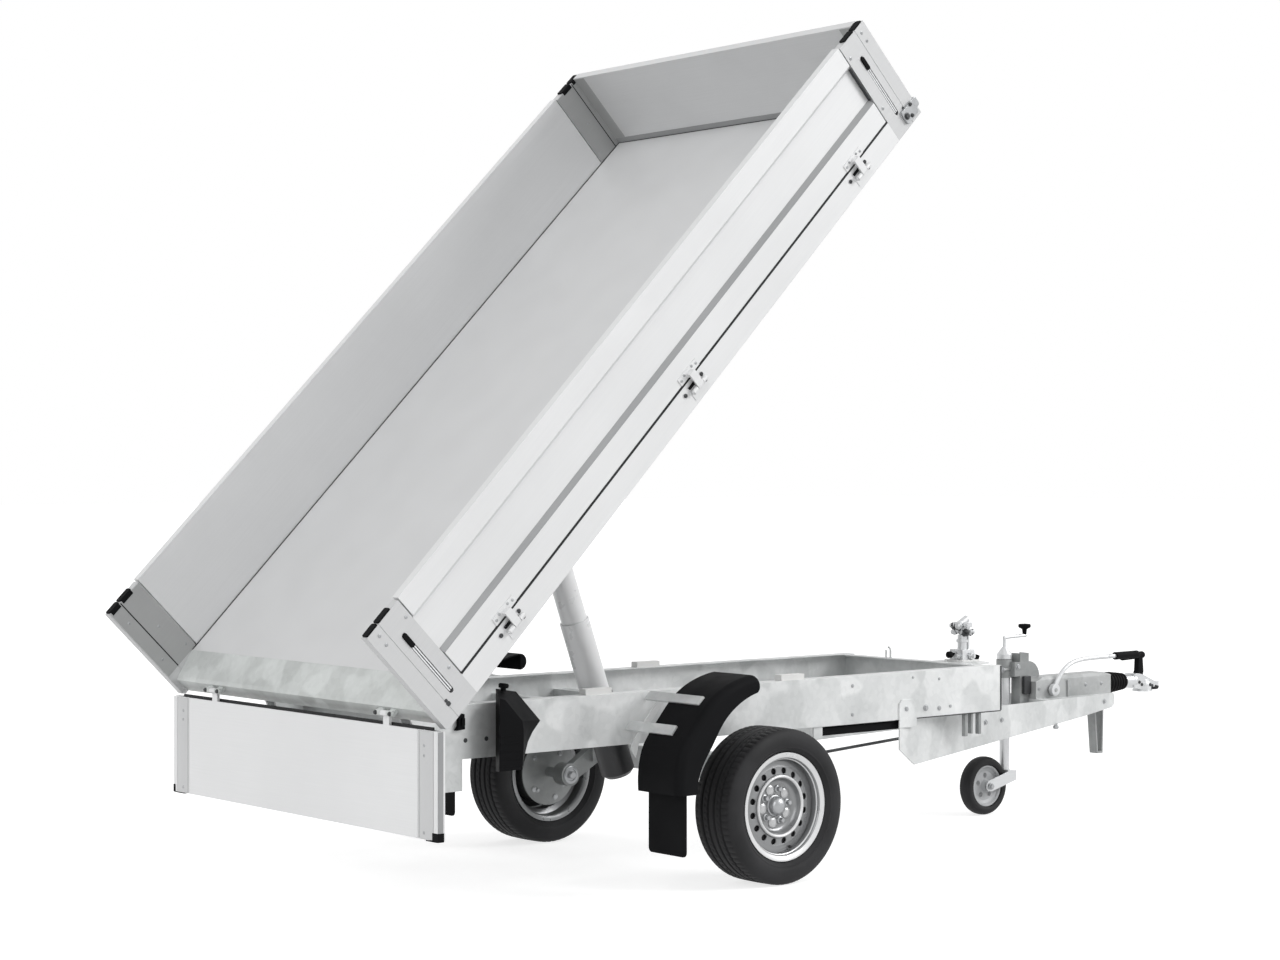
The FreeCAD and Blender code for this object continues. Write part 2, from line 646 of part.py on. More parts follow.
def pump():
    x = BEAM_X1 + PUMP_OUT
    y = PUMP_Y
    z = BEAM_Z1 - BEAM_T
    base = box(x - 34, x + 34, y - 34, y + 34, z, z + 46)
    base = base.fuse(rod(V(x - 44, y, z + 24), V(x + 48, y, z + 24), 20))
    bore = Part.makeCylinder(18, 62, V(x, y, z + 40))
    collar = Part.makeCylinder(23, 10, V(x, y, z + 74))
    piston = Part.makeCylinder(9, 50, V(x, y, z + 100))
    link = box(x + 26, x + 34, y - 8, y + 8, z + 40, z + 142)
    head = box(x - 34, x + 42, y - 15, y + 15, z + 130, z + 150)
    socket = rod(V(x - 26, y, z + 138), V(x + 26, y, z + 164), 14)
    return fuse([base, bore, collar, piston, link, head, socket])


def wheel_chock():
    rings = []
    for points, y in ((CHOCK_BASE, -BEAM_Y), (CHOCK_TOP, -BEAM_Y - CHOCK_T)):
        loop = [V(x, y, z) for x, z in points]
        rings.append(Part.makePolygon(loop + [loop[0]]))
    return Part.makeLoft(rings, True, True)


def rest_pads():
    pads = []
    for x in PAD_AT:
        pads.append(box(x - PAD_L / 2, x + PAD_L / 2, BEAM_Y - 8 - PAD_W, BEAM_Y - 8, BEAM_Z1, BEAM_Z1 + PAD_H))
    return Part.makeCompound(pads + [mirrored(pad) for pad in pads])


def brake_rod():
    start = V(AXLE_X + AXLE_SIZE / 2 + YOKE_L + 0.6, 0, AXLE_Z - YOKE_DROP + 9)
    return rod(start, V(HOUSE_X0 + 38, 0, NOSE_FOOT - 11), BRAKE_ROD_R)


# Running gear


def axle_tube():
    half = AXLE_SIZE / 2
    tube = box(AXLE_X - half, AXLE_X + half, -AXLE_END, AXLE_END, AXLE_Z - half, AXLE_Z + half)
    inside = half - AXLE_WALL
    hollow = box(AXLE_X - inside, AXLE_X + inside, -AXLE_END - 1, AXLE_END + 1, AXLE_Z - inside, AXLE_Z + inside)
    web = box(AXLE_X - SEAT_HALF, AXLE_X + SEAT_HALF, BEAM_Y - 40, BEAM_Y - 34, AXLE_Z + half, BEAM_Z0)
    seat = box(AXLE_X - SEAT_HALF, AXLE_X + SEAT_HALF, BEAM_Y - 46, BEAM_Y - 6, BEAM_Z0 - 6, BEAM_Z0)
    bracket = web.fuse(seat)
    yoke = box(AXLE_X + half, AXLE_X + half + YOKE_L, -20, 20, AXLE_Z - YOKE_DROP, AXLE_Z + 20)
    return fuse([tube.cut(hollow), bracket, mirrored(bracket), yoke])


def swing_arms():
    arm_out = ARM_IN + ARM_T
    root = across(AXLE_X, AXLE_Z, AXLE_END, arm_out, ARM_ROOT_R)
    tip = across(0, TYRE_R, ARM_IN, arm_out + 22, HUB_R)
    span = V(-AXLE_X, 0, TYRE_R - AXLE_Z)
    normal = V(-span.z, 0, span.x)
    normal.normalize()
    root_at = V(AXLE_X, 0, AXLE_Z)
    tip_at = V(0, 0, TYRE_R)
    corners = []
    for end, reach in ((root_at, 34), (tip_at, 30), (tip_at, -30), (root_at, -34)):
        point = end + normal * reach
        corners.append((point.x, point.z))
    web = side_plate(corners, ARM_IN, arm_out)
    plate_y = TRACK / 2 + DISC_OFFSET - DISC_T - DRUM_DEPTH - SIDE_GAP
    backplate = across(0, TYRE_R, plate_y - 6, plate_y, DRUM_R + 6)
    spindle = across(0, TYRE_R, arm_out, TRACK / 2 + 12, SPINDLE_R)
    arm = fuse([root, tip, web, backplate, spindle])
    return both_sides(arm)


def drum(side):
    centre = V(0, side * TRACK / 2, TYRE_R)
    face = DISC_OFFSET - DISC_T
    rear = face - DRUM_DEPTH
    bore = SPINDLE_R + PIN_GAP
    profile = [(face, bore), (face, 80), (face - 16, DRUM_R - 6), (face - 18, DRUM_R), (rear, DRUM_R),
               (rear, DRUM_R - DRUM_WALL), (face - 26, DRUM_R - DRUM_WALL), (face - 12, 72), (face - 12, 40),
               (rear + 14, 40), (rear + 14, bore)]
    cap = [(face, bore), (face, CAP_R), (face + 24, CAP_R), (face + 32, CAP_R - 7), (face + 37, CAP_R - 18),
           (face + 38, 0.0), (face + 2, 0.0), (face + 2, bore)]
    return spun(profile, centre, side).fuse(spun(cap, centre, side)).removeSplitter()


def rim(side):
    centre = V(0, side * TRACK / 2, TYRE_R)
    outer = RIM_HALF + LIP
    inside = SEAT_R - RIM_WALL
    face = DISC_OFFSET
    back = DISC_OFFSET - DISC_T
    barrel = [(-outer, FLANGE_R - 3), (-outer + 3, FLANGE_R), (-RIM_HALF, FLANGE_R), (-RIM_HALF, SEAT_R),
              (-30, SEAT_R), (-20, WELL_R), (20, WELL_R), (34, SEAT_R), (RIM_HALF, SEAT_R), (RIM_HALF, FLANGE_R),
              (outer - 3, FLANGE_R), (outer, FLANGE_R - 3), (outer, FLANGE_R - 8), (RIM_HALF + 2, inside + 4),
              (RIM_HALF - 6, inside), (36, inside), (22, WELL_R - RIM_WALL), (-22, WELL_R - RIM_WALL),
              (-32, inside), (-RIM_HALF + 6, inside), (-RIM_HALF - 2, inside + 4), (-outer, FLANGE_R - 8)]
    disc = [(face, CENTRE_HOLE_R), (face, 80), (face + 4, 86), (face + 20, 93), (face + 24, 98), (face + 20, 104),
            (face - 2, 114), (face - 10, 124), (face - 10, WELL_R - RIM_WALL + 0.5),
            (back - 10, WELL_R - RIM_WALL + 0.5), (back - 10, 122), (back - 2, 111), (back + 19, 100),
            (back + 19, 97), (back + 1, 88), (back, 82), (back, CENTRE_HOLE_R)]
    wheel = spun(barrel, centre, side).fuse(spun(disc, centre, side))
    for i in range(VENT_COUNT):
        angle = math.radians(360.0 * i / VENT_COUNT)
        x = VENT_PITCH_R * math.sin(angle)
        z = TYRE_R + VENT_PITCH_R * math.cos(angle)
        wheel = wheel.cut(across(x, z, centre.y - side * 10, centre.y + side * 70, VENT_R))
    return wheel.removeSplitter()


def tyre(side):
    centre = V(0, side * TRACK / 2, TYRE_R)
    half = TYRE_W / 2
    wall = [(RIM_HALF, SEAT_R), (RIM_HALF, FLANGE_R + 2), (half - 14, 188), (half - 5, 199), (half, 214),
            (half - 1, 229), (half - 6, 243), (half - 13, 252), (half - 24, 258), (half - 45, TYRE_R - 1.5),
            (half - 70, TYRE_R - 0.3), (0, TYRE_R)]
    inside = [(0, TYRE_R - 14), (half - 30, TYRE_R - 16), (half - 12, 226), (half - 12, 206), (RIM_HALF - 10, SEAT_R)]
    outer = wall + [(-w, r) for w, r in reversed(wall[:-1])]
    inner = [(-w, r) for w, r in reversed(inside)] + inside[1:]
    return spun(outer + inner, centre, side)


def offset_line(line, depth):
    out = []
    for i, point in enumerate(line):
        before = line[max(i - 1, 0)]
        after = line[min(i + 1, len(line) - 1)]
        dx = after[0] - before[0]
        dz = after[1] - before[1]
        length = math.hypot(dx, dz)
        out.append((point[0] - dz / length * depth, point[1] + dx / length * depth))
    return out


def guard_section(depth, y):
    # the outline of the guard at a depth under its outer line
    upper = offset_line(GUARD_OUTER, depth)
    top = upper[0]
    foot = GUARD_INNER[0]
    height = top[1] - foot[1]
    tip = Part.Arc(V(foot[0], y, foot[1]), V(foot[0] + GUARD_NOSE * height, y, foot[1] + height / 2),
                   V(top[0], y, top[1]))
    return Part.Wire([curve(upper, y), segment(upper[-1], GUARD_INNER[-1], y), curve(GUARD_INNER[::-1], y),
                      tip.toShape()])


def shoulder(width):
    # how far the rounded shoulder has dropped at a distance inside the outer edge
    across_it = GUARD_ROUND - width
    return GUARD_ROUND - math.sqrt(GUARD_ROUND ** 2 - across_it ** 2)


def guard_solid():
    flat = Part.Face(guard_section(0, GUARD_IN)).extrude(V(0, GUARD_OUT - GUARD_ROUND - GUARD_IN, 0))
    sections = [guard_section(shoulder(w), GUARD_OUT - w) for w in (GUARD_ROUND, GUARD_ROUND / 2, 5, 0)]
    return flat.fuse(Part.makeLoft(sections, True, False))


def hollow_section(depth, y):
    roof = offset_line(GUARD_OUTER, depth)
    roof = roof + [(roof[-1][0] + 1, roof[-1][1] - 40)]
    far = (roof[-1][0] + 300, roof[-1][1])
    near = (roof[0][0], roof[-1][1])
    return Part.Wire([curve(roof, y), segment(roof[-1], far, y), segment(far, near, y), segment(near, roof[0], y)])


def guard_hollow():
    y = GUARD_IN - 1
    edge = GUARD_OUT - GUARD_ROUND
    flat = Part.Face(hollow_section(GUARD_T, y)).extrude(V(0, edge - y, 0))
    sections = [hollow_section(GUARD_T, edge), hollow_section(GUARD_T + 4, edge + 12),
                hollow_section(GUARD_T + 13, GUARD_OUT - GUARD_T)]
    return flat.fuse(Part.makeLoft(sections, True, False))


def mudguards():
    shell = guard_solid().cut(guard_hollow())
    foot = GUARD_OUTER[-1][1]
    flap = box(FLAP_X, FLAP_X + FLAP_T, GUARD_IN + FLAP_INSET, GUARD_OUT - FLAP_INSET - GUARD_T, FLAP_FOOT, foot + 20)
    corners = [e for e in flap.Edges if e.BoundBox.ZMax < FLAP_FOOT + 1 and e.BoundBox.XLength > FLAP_T / 2
               and e.BoundBox.YLength < 1]
    flap = flap.makeFillet(FLAP_ROUND, corners)
    tie = box(GUARD_OUTER[-1][0] + 2, FLAP_X + FLAP_T, GUARD_IN + FLAP_INSET, GUARD_OUT - FLAP_INSET, foot + 2, foot + 8)
    guard = fuse([shell, flap, tie])
    return both_sides(guard)


def strap_on(index, start, end):
    a = GUARD_OUTER[index]
    b = GUARD_OUTER[index + 1]
    dx = b[0] - a[0]
    dz = b[1] - a[1]
    length = math.hypot(dx, dz)
    nx = dz / length
    nz = -dx / length
    first = (a[0] + dx * start, a[1] + dz * start)
    last = (a[0] + dx * end, a[1] + dz * end)
    return [(first[0] - nx * 0.5, first[1] - nz * 0.5), (last[0] - nx * 0.5, last[1] - nz * 0.5),
            (last[0] + nx * STRAP_T, last[1] + nz * STRAP_T), (first[0] + nx * STRAP_T, first[1] + nz * STRAP_T)]


def guard_brackets():
    upper = side_plate(strap_on(2, 0.05, 0.33), BEAM_Y, TRACK / 2 + UPPER_STRAP)
    lower = side_plate(strap_on(3, 0.1, 0.5), BEAM_Y, TRACK / 2 + LOWER_STRAP)
    plate = side_plate(BRACKET_OUTLINE, BRACKET_Y, BRACKET_Y + BRACKET_T)
    bracket = fuse([plate, upper, lower])
    return both_sides(bracket.cut(guard_solid()))


def lamp_carrier():
    top = CARRIER_TOP
    plate = side_plate([(CARRIER_FRONT, BEAM_Z0), (CARRIER_FRONT, CARRIER_FOOT), (CARRIER_X, CARRIER_FOOT),
                        (CARRIER_X, top), (BEAM_X0 - 5, top), (BEAM_X0 - 5, BEAM_Z0)], BEAM_Y - CARRIER_T, BEAM_Y)
    bar = box(CARRIER_X, CARRIER_X + CARRIER_T, -CARRIER_HALF, CARRIER_HALF, CARRIER_FOOT + 2, top - 18)
    return fuse([plate, mirrored(plate), bar])


def tail_lamps():
    foot = (CARRIER_FOOT + CARRIER_TOP - LAMP_H) / 2
    lamp = box(CARRIER_X - LAMP_T, CARRIER_X, LAMP_Y0, LAMP_Y1, foot, foot + LAMP_H)
    return both_sides(lamp)


def plate_holder():
    foot = CARRIER_FOOT + 8
    return box(CARRIER_X - PLATE_T, CARRIER_X, -PLATE_HALF, PLATE_HALF, foot, foot + PLATE_H)


# Bed


def bed_floor():
    half = BED_W / 2 - WALL_T - 1
    return raised(bed_box(SILL_DEPTH, BED_L - POST_T - WALL_T + 4, -half, half, FLOOR_V, FLOOR_V + FLOOR_T))


def sub_beam():
    beam_box = bed_box(SUB_U0, SUB_U1, LUG_Y0, LUG_Y1, SUB_V, SUB_TOP)
    trough = bed_box(SUB_U0 + 90, SUB_U1 + 1, LUG_Y0 + SUB_T, LUG_Y1 - SUB_T, SUB_V + SUB_T, SUB_TOP + 1)
    lug = across(HINGE_X, HINGE_Z, LUG_Y0, LUG_Y1, LUG_R)
    link = box(HINGE_X - LUG_R, HINGE_X + 60, LUG_Y0, LUG_Y1, HINGE_Z, bed_z(SUB_TOP))
    whole = fuse([beam_box.cut(trough), lug, link])
    return whole.cut(across(HINGE_X, HINGE_Z, LUG_Y0 - 1, LUG_Y1 + 1, PIN_R + PIN_GAP))


def channel_member(u, half, v0, v1, wall):
    outer = bed_box(u - MEMBER_W / 2, u + MEMBER_W / 2, -half, half, v0, v1)
    inner = bed_box(u - MEMBER_W / 2 + wall, u + MEMBER_W / 2 + 1, -half - 1, half + 1, v0 + wall, v1 - wall)
    return outer.cut(inner)


def ram_ear(y0):
    u = ram_u()
    points = [(u - 90, SUB_TOP), (u - 90, -20), (u - 34, -92), (u + 34, -92), (u + 90, -20), (u + 90, SUB_TOP)]
    ear = side_plate([(bed_x(a), bed_z(b)) for a, b in points], y0, y0 + RAM_EAR_T)
    eye = V(bed_x(u), 0, bed_z(ram_v()))
    return ear.cut(across(eye.x, eye.z, y0 - 1, y0 + RAM_EAR_T + 1, RAM_PIN_R + PIN_GAP))


def bed_frame():
    half = BED_W / 2 - WALL_T
    first = SILL_DEPTH + MEMBER_W / 2
    last = SUB_U1 - 50
    parts = [sub_beam(), mirrored(sub_beam())]
    for i in range(MEMBER_COUNT):
        u = first + (last - first) * i / (MEMBER_COUNT - 1)
        parts.append(channel_member(u, half, SUB_TOP, FLOOR_V, MEMBER_T))
    for u in (ram_u() - 95, ram_u() + 95):
        parts.append(channel_member(u, LUG_Y0, -20, SUB_TOP, SUB_T))
    parts.append(ram_ear(RAM_EAR_IN))
    parts.append(ram_ear(-RAM_EAR_IN - RAM_EAR_T))
    return raised(fuse(parts))


def ram_axis():
    angle = math.radians(RAM_LEAN)
    return V(-math.sin(angle), 0, math.cos(angle))


def ram_reach():
    eye = V(TRUNNION_X, 0, TRUNNION_Z) + ram_axis() * RAM_OPEN
    return eye - V(HINGE_X, 0, HINGE_Z)


def ram_u():
    angle = math.radians(TILT)
    return HINGE_U + ram_reach().x * math.cos(angle) + ram_reach().z * math.sin(angle)


def ram_v():
    angle = math.radians(TILT)
    return HINGE_V - ram_reach().x * math.sin(angle) + ram_reach().z * math.cos(angle)


def bed_rails():
    half = BED_W / 2
    inner = half - WALL_T
    outer = bed_box(POST_U, BED_L - POST_U, inner, half, 0, RAIL_H)
    hollow = bed_box(POST_U - 1, BED_L - POST_U + 1, inner + RAIL_T, half - RAIL_T, RAIL_T, RAIL_H - RAIL_T)
    side = fuse([outer.cut(hollow)] + [wall_hinge_fixed(u) for u in WALL_HINGES])
    front = bed_box(BED_L - WALL_T, BED_L, -inner, inner, 0, RAIL_H)
    front = front.cut(bed_box(BED_L - WALL_T + RAIL_T, BED_L - RAIL_T, -half, half, RAIL_T, RAIL_H - RAIL_T))
    return raised(Part.makeCompound([side, mirrored(side), front]))


def wall_hinge_fixed(u):
    half = BED_W / 2
    edge = LEAF_HALF + 2
    pad = bed_box(u - 40, u + 40, half, half + HINGE_PAD_T, 14, 62)
    parts = [pad]
    for u0 in (u - edge - KNUCKLE_L, u + edge):
        u1 = u0 + KNUCKLE_L
        parts.append(rod(V(bed_x(u0), WALL_PIVOT_Y, bed_z(WALL_PIVOT_V)),
                         V(bed_x(u1), WALL_PIVOT_Y, bed_z(WALL_PIVOT_V)), KNUCKLE_R))
        parts.append(bed_box(u0, u1, half, WALL_PIVOT_Y, WALL_PIVOT_V - KNUCKLE_R, WALL_PIVOT_V))
    reach = edge + KNUCKLE_L + 4
    parts.append(rod(V(bed_x(u - reach), WALL_PIVOT_Y, bed_z(WALL_PIVOT_V)),
                     V(bed_x(u + reach), WALL_PIVOT_Y, bed_z(WALL_PIVOT_V)), WALL_PIVOT_R))
    return fuse(parts)


def wall_hinge_leaf(u):
    half = BED_W / 2
    far = WALL_PIVOT_Y + KNUCKLE_R
    eye = rod(V(bed_x(u - LEAF_HALF), WALL_PIVOT_Y, bed_z(WALL_PIVOT_V)),
              V(bed_x(u + LEAF_HALF), WALL_PIVOT_Y, bed_z(WALL_PIVOT_V)), KNUCKLE_R)
    strap = bed_box(u - LEAF_HALF, u + LEAF_HALF, WALL_PIVOT_Y + 2, far, WALL_PIVOT_V, WALL_V + 14)
    pad = bed_box(u - PLATE_HALF_U, u + PLATE_HALF_U, half, half + 3, WALL_V, WALL_V + 26)
    bridge = bed_box(u - LEAF_HALF, u + LEAF_HALF, half, far, WALL_V + 2, WALL_V + 14)
    hole = rod(V(bed_x(u - LEAF_HALF - 1), WALL_PIVOT_Y, bed_z(WALL_PIVOT_V)),
               V(bed_x(u + LEAF_HALF + 1), WALL_PIVOT_Y, bed_z(WALL_PIVOT_V)), WALL_PIVOT_R + PIN_GAP)
    return fuse([eye, strap, pad, bridge]).cut(hole)


def rear_sill():
    half = BED_W / 2 - WALL_T
    face = SILL_FACE
    points = [(face, 6), (face, 58), (face + 12, 64), (SILL_DEPTH, WALL_V), (SILL_DEPTH, WALL_V - SILL_T),
              (face + 16, 60), (face + SILL_T, 55), (face + SILL_T, 10), (face + 42, 10), (face + 42, 6)]
    sill = side_plate([(bed_x(u), bed_z(v)) for u, v in points], -half, half)
    return raised(fuse([sill, gate_hinge_fixed(-GATE_HINGE_Y), gate_hinge_fixed(GATE_HINGE_Y)]))


def gate_hinge_fixed(y):
    x = bed_x(GATE_PIVOT_U)
    z = bed_z(GATE_PIVOT_V)
    edge = GATE_LEAF_HALF + 2
    parts = []
    for y0 in (y - edge - GATE_KNUCKLE_L, y + edge):
        y1 = y0 + GATE_KNUCKLE_L
        parts.append(across(x, z, y0, y1, GATE_KNUCKLE_R))
        parts.append(box(x, bed_x(SILL_FACE) + 0.5, y0, y1, z - GATE_KNUCKLE_R, z + 3))
    reach = edge + GATE_KNUCKLE_L + 4
    parts.append(across(x, z, y - reach, y + reach, GATE_PIVOT_R))
    return fuse(parts)


def post():
    # two profiles side by side, the plain one at the bed's end, with the latch's slot in the other
    half = BED_W / 2
    top = WALL_V + WALL_H - CAP_H
    shape = bed_box(0, POST_U, half - WALL_T, half, 0, top)
    for u0, u1 in ((0, POST_B), (POST_B, POST_U)):
        shape = shape.cut(bed_box(u0 + SKIN, u1 - SKIN, half - WALL_T + SKIN, half - SKIN, -1, top - SKIN))
    for y0, y1 in ((half - GROOVE, half + 1), (half - WALL_T - 1, half - WALL_T + GROOVE)):
        shape = shape.cut(bed_box(POST_B - 1, POST_B + 1, y0, y1, -1, top + 1))
    slot = bed_box(SLOT_U - SLOT_W / 2, SLOT_U + SLOT_W / 2, half - SKIN - 1, half + 1,
                   SLOT_V0 + SLOT_W / 2, SLOT_V1 - SLOT_W / 2)
    for v in (SLOT_V0 + SLOT_W / 2, SLOT_V1 - SLOT_W / 2):
        slot = slot.fuse(across(bed_x(SLOT_U), bed_z(v), half - SKIN - 1, half + 1, SLOT_W / 2))
    return shape.cut(slot)


def bed_posts():
    half = BED_W / 2
    nick = side_plate([(bed_x(-1), bed_z(-1)), (bed_x(POST_NICK), bed_z(-1)), (bed_x(-1), bed_z(POST_NICK))],
                      0, half + 5)
    rear = post().cut(nick)
    leg = bed_box(BED_L - POST_T, BED_L, half - POST_LEG, half - 1, RAIL_H, WALL_V + WALL_H - CAP_H)
    front = post().mirror(V(bed_x(BED_L / 2), 0, 0), V(1, 0, 0)).fuse(leg).removeSplitter()
    return raised(Part.makeCompound([rear, front, mirrored(rear), mirrored(front)]))


def plank_section(foot, top, thick, skin):
    # points are (depth behind the outer face, height); skin shrinks the plank to its cavity
    low = foot - skin * 2
    slope = skin * 0.4
    back = thick - skin
    floor = RECESS + skin
    return [(back, low), (skin, low), (skin, foot + WALL_FOOT_BAND - slope),
            (floor, foot + WALL_FOOT_BAND + RECESS - slope), (floor, top - WALL_TOP_BAND - RECESS + slope),
            (skin, top - WALL_TOP_BAND + slope), (skin, top - skin), (back, top - skin)]


def band_section(foot, top, thick, skin):
    low = foot - skin * 2
    return [(thick - skin, low), (skin, low), (skin, top - skin), (thick - skin, top - skin)]


def open_wall(make, start, end, foot, top, thick):
    # a plank with a recess along its outer side, open underneath
    wall = make(plank_section(foot, top, thick, 0), start, end)
    return wall.cut(make(plank_section(foot, top, thick, SKIN), start + SKIN, end - SKIN))


def banded_wall(make, half, foot, top, thick):
    # the same plank between two upright end profiles
    wall = open_wall(make, END_BAND - half, half - END_BAND, foot, top, thick)
    for start in (-half, half - END_BAND):
        end = start + END_BAND
        band = make(band_section(foot, top, thick, 0), start, end)
        wall = wall.fuse(band.cut(make(band_section(foot, top, thick, SKIN), start + SKIN, end - SKIN)))
    return wall.removeSplitter()


def along_side(section, u0, u1):
    return cross_plate([(BED_W / 2 - depth, bed_z(v)) for depth, v in section], bed_x(u0), bed_x(u1))


def along_front(section, y0, y1):
    return side_plate([(bed_x(BED_L - POST_T - depth), bed_z(v)) for depth, v in section], y0, y1)


def along_gate(section, y0, y1):
    return side_plate([(bed_x(GATE_IN - GATE_T + depth), bed_z(v)) for depth, v in section], y0, y1)


def side_wall(side):
    u0 = POST_U + POST_GAP
    u1 = BED_L - POST_U - POST_GAP
    wall = open_wall(along_side, u0, u1, WALL_V, WALL_V + WALL_H, WALL_T)
    wall = fuse([wall] + [wall_hinge_leaf(u) for u in WALL_HINGES])
    if side < 0:
        wall = mirrored(wall)
    return raised(wall)


def front_wall():
    half = BED_W / 2 - WALL_T
    return raised(banded_wall(along_front, half, WALL_V, WALL_V + WALL_H, WALL_T))


def hung(shape):
    pivot = V(bed_x(GATE_PIVOT_U), 0, bed_z(GATE_PIVOT_V))
    return raised(turned(shape, pivot, V(0, -1, 0), 180 - TILT))


def gate_hinge_leaf(y):
    x = bed_x(GATE_PIVOT_U)
    z = bed_z(GATE_PIVOT_V)
    y0 = y - GATE_LEAF_HALF
    y1 = y + GATE_LEAF_HALF
    eye = across(x, z, y0, y1, GATE_KNUCKLE_R)
    strap = box(x - 14, x - 4, y0, y1, z - 4, bed_z(GATE_V) + 4)
    return fuse([eye, strap]).cut(across(x, z, y0 - 1, y1 + 1, GATE_PIVOT_R + PIN_GAP))


def tailgate():
    half = GATE_W / 2
    gate = banded_wall(along_gate, half, GATE_V, GATE_V + GATE_H, GATE_T)
    inner = bed_x(GATE_IN)
    for y in (half - END_STRIP, half - END_STRIP - END_BAND, END_STRIP - half, END_STRIP + END_BAND - half):
        gate = gate.cut(box(inner - GROOVE, inner + 1, y - 1, y + 1, bed_z(GATE_V) - 1, bed_z(GATE_V + GATE_H) + 1))
    gate = fuse([gate, gate_hinge_leaf(-GATE_HINGE_Y), gate_hinge_leaf(GATE_HINGE_Y)])
    return hung(gate)


# Ram


def along(start, end, radius):
    base = V(TRUNNION_X, 0, TRUNNION_Z)
    return rod(base + ram_axis() * start, base + ram_axis() * end, radius)


def ram_barrel():
    base = V(TRUNNION_X, 0, TRUNNION_Z) + ram_axis() * BARREL_FOOT
    bevel = Part.makeCone(BARREL_R - BARREL_BEVEL, BARREL_R, BARREL_BEVEL, base, ram_axis())
    barrel = bevel.fuse(along(BARREL_FOOT + BARREL_BEVEL, BARREL_TOP, BARREL_R))
    barrel = barrel.cut(along(BARREL_FOOT + BARREL_BASE, BARREL_TOP + 1, STAGE_R[0] + SLIDE_GAP))
    end = CRADLE_IN + CRADLE_T
    for side in (-1, 1):
        pin = across(TRUNNION_X, TRUNNION_Z, side * (BARREL_R - 4), side * end, TRUNNION_R)
        barrel = barrel.fuse(pin)
    return barrel.removeSplitter()


def ram_stage(index):
    foot = BARREL_FOOT + BARREL_BASE + 2 + RAM_STROKE * (index + 1)
    top = BARREL_TOP + COLLAR_STEP * (index + 1) + RAM_STROKE * (index + 1)
    stage = along(foot, top, STAGE_R[index])
    if index < 2:
        return stage.cut(along(foot - 1, top + 1, STAGE_R[index + 1] + SLIDE_GAP))
    stage = stage.cut(along(foot + 10, top - 20, STAGE_R[index] - STAGE_WALL))
    head = along(top - 1, RAM_OPEN, 24)
    eye_at = V(TRUNNION_X, 0, TRUNNION_Z) + ram_axis() * RAM_OPEN
    eye = across(eye_at.x, eye_at.z, -RAM_EYE_HALF, RAM_EYE_HALF, RAM_EYE_R)
    pin = across(eye_at.x, eye_at.z, -RAM_EAR_IN + SIDE_GAP / 2, RAM_EAR_IN - SIDE_GAP / 2, RAM_PIN_R)
    return fuse([stage, head, eye, pin])


PARTS = {
    "chassis_beams": chassis_beams,
    "cross_members": cross_members,
    "drawbar": drawbar,
    "foot_support": foot_support,
    "overrun_housing": overrun_housing,
    "bellows": bellows,
    "coupling_head": coupling_head,
    "coupling_handle": coupling_handle,
    "brake_lever": brake_lever,
    "brake_grip": brake_grip,
    "jockey_bracket": jockey_bracket,
    "jockey_tube": jockey_tube,
    "jockey_stem": jockey_stem,
    "jockey_fork": jockey_fork,
    "jockey_rim": jockey_rim,
    "jockey_tyre": jockey_tyre,
    "pump": pump,
    "wheel_chock": wheel_chock,
    "rest_pads": rest_pads,
    "brake_rod": brake_rod,
    "axle_tube": axle_tube,
    "swing_arms": swing_arms,
    "drum_left": lambda: drum(1),
    "drum_right": lambda: drum(-1),
    "rim_left": lambda: rim(1),
    "rim_right": lambda: rim(-1),
    "tyre_left": lambda: tyre(1),
    "tyre_right": lambda: tyre(-1),
    "mudguards": mudguards,
    "guard_brackets": guard_brackets,
    "lamp_carrier": lamp_carrier,
    "tail_lamps": tail_lamps,
    "plate_holder": plate_holder,
    "bed_floor": bed_floor,
    "bed_frame": bed_frame,
    "bed_rails": bed_rails,
    "rear_sill": rear_sill,
    "bed_posts": bed_posts,
    "front_wall": front_wall,
    "wall_left": lambda: side_wall(1),
    "wall_right": lambda: side_wall(-1),
    "tailgate": tailgate,
    "ram_barrel": ram_barrel,
    "ram_stage_1": lambda: ram_stage(0),
    "ram_stage_2": lambda: ram_stage(1),
    "ram_stage_3": lambda: ram_stage(2),
}


def main():
    os.makedirs("parts", exist_ok=True)
    for name, maker in PARTS.items():
        shape = maker()
        shape.translate(V(-BALL_X, 0, -BALL_Z))
        shape.exportStep("parts/" + name + ".step")
        print(name, len(shape.Solids), round(shape.Volume), shape.isValid())


main()
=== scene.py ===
import json
from math import atan2, cos, pi, radians, sin, tau

import bmesh
import bpy
from mathutils import Matrix, Vector


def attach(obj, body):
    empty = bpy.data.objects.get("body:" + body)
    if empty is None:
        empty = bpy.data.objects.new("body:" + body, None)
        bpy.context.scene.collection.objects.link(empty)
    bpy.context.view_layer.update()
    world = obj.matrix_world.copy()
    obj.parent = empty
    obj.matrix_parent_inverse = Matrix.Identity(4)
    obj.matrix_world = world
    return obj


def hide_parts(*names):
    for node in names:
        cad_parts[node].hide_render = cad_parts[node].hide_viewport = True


# Places are in millimetres. "ground" has x forward from the axle, y to the left and z up from the ground.
# "bed" has u forward from the bed's rear edge, y to the left and v up from its rails' underside.
# "gate" is the bed's space with the tailgate closed, turned with it about its lower hinge.
BALL = (2755, 0, 470)
HINGE = (-1306, 0, 668)
HINGE_IN_BED = (128, 0, -57)
TILT = 45
GATE_PIVOT = (1.7, 0, 47.9)

# The view of the photograph
VIEW_FROM = (-5816.7, -6915.6, 1397.5)
VIEW_AZIMUTH = 50.1
VIEW_FOCUS_PX = 2535.4
VIEW_WIDTH_PX = 1280
VIEW_HEIGHT_PX = 960
HORIZON_PX = 467.9
SENSOR = 36
FAR_CLIP = 400

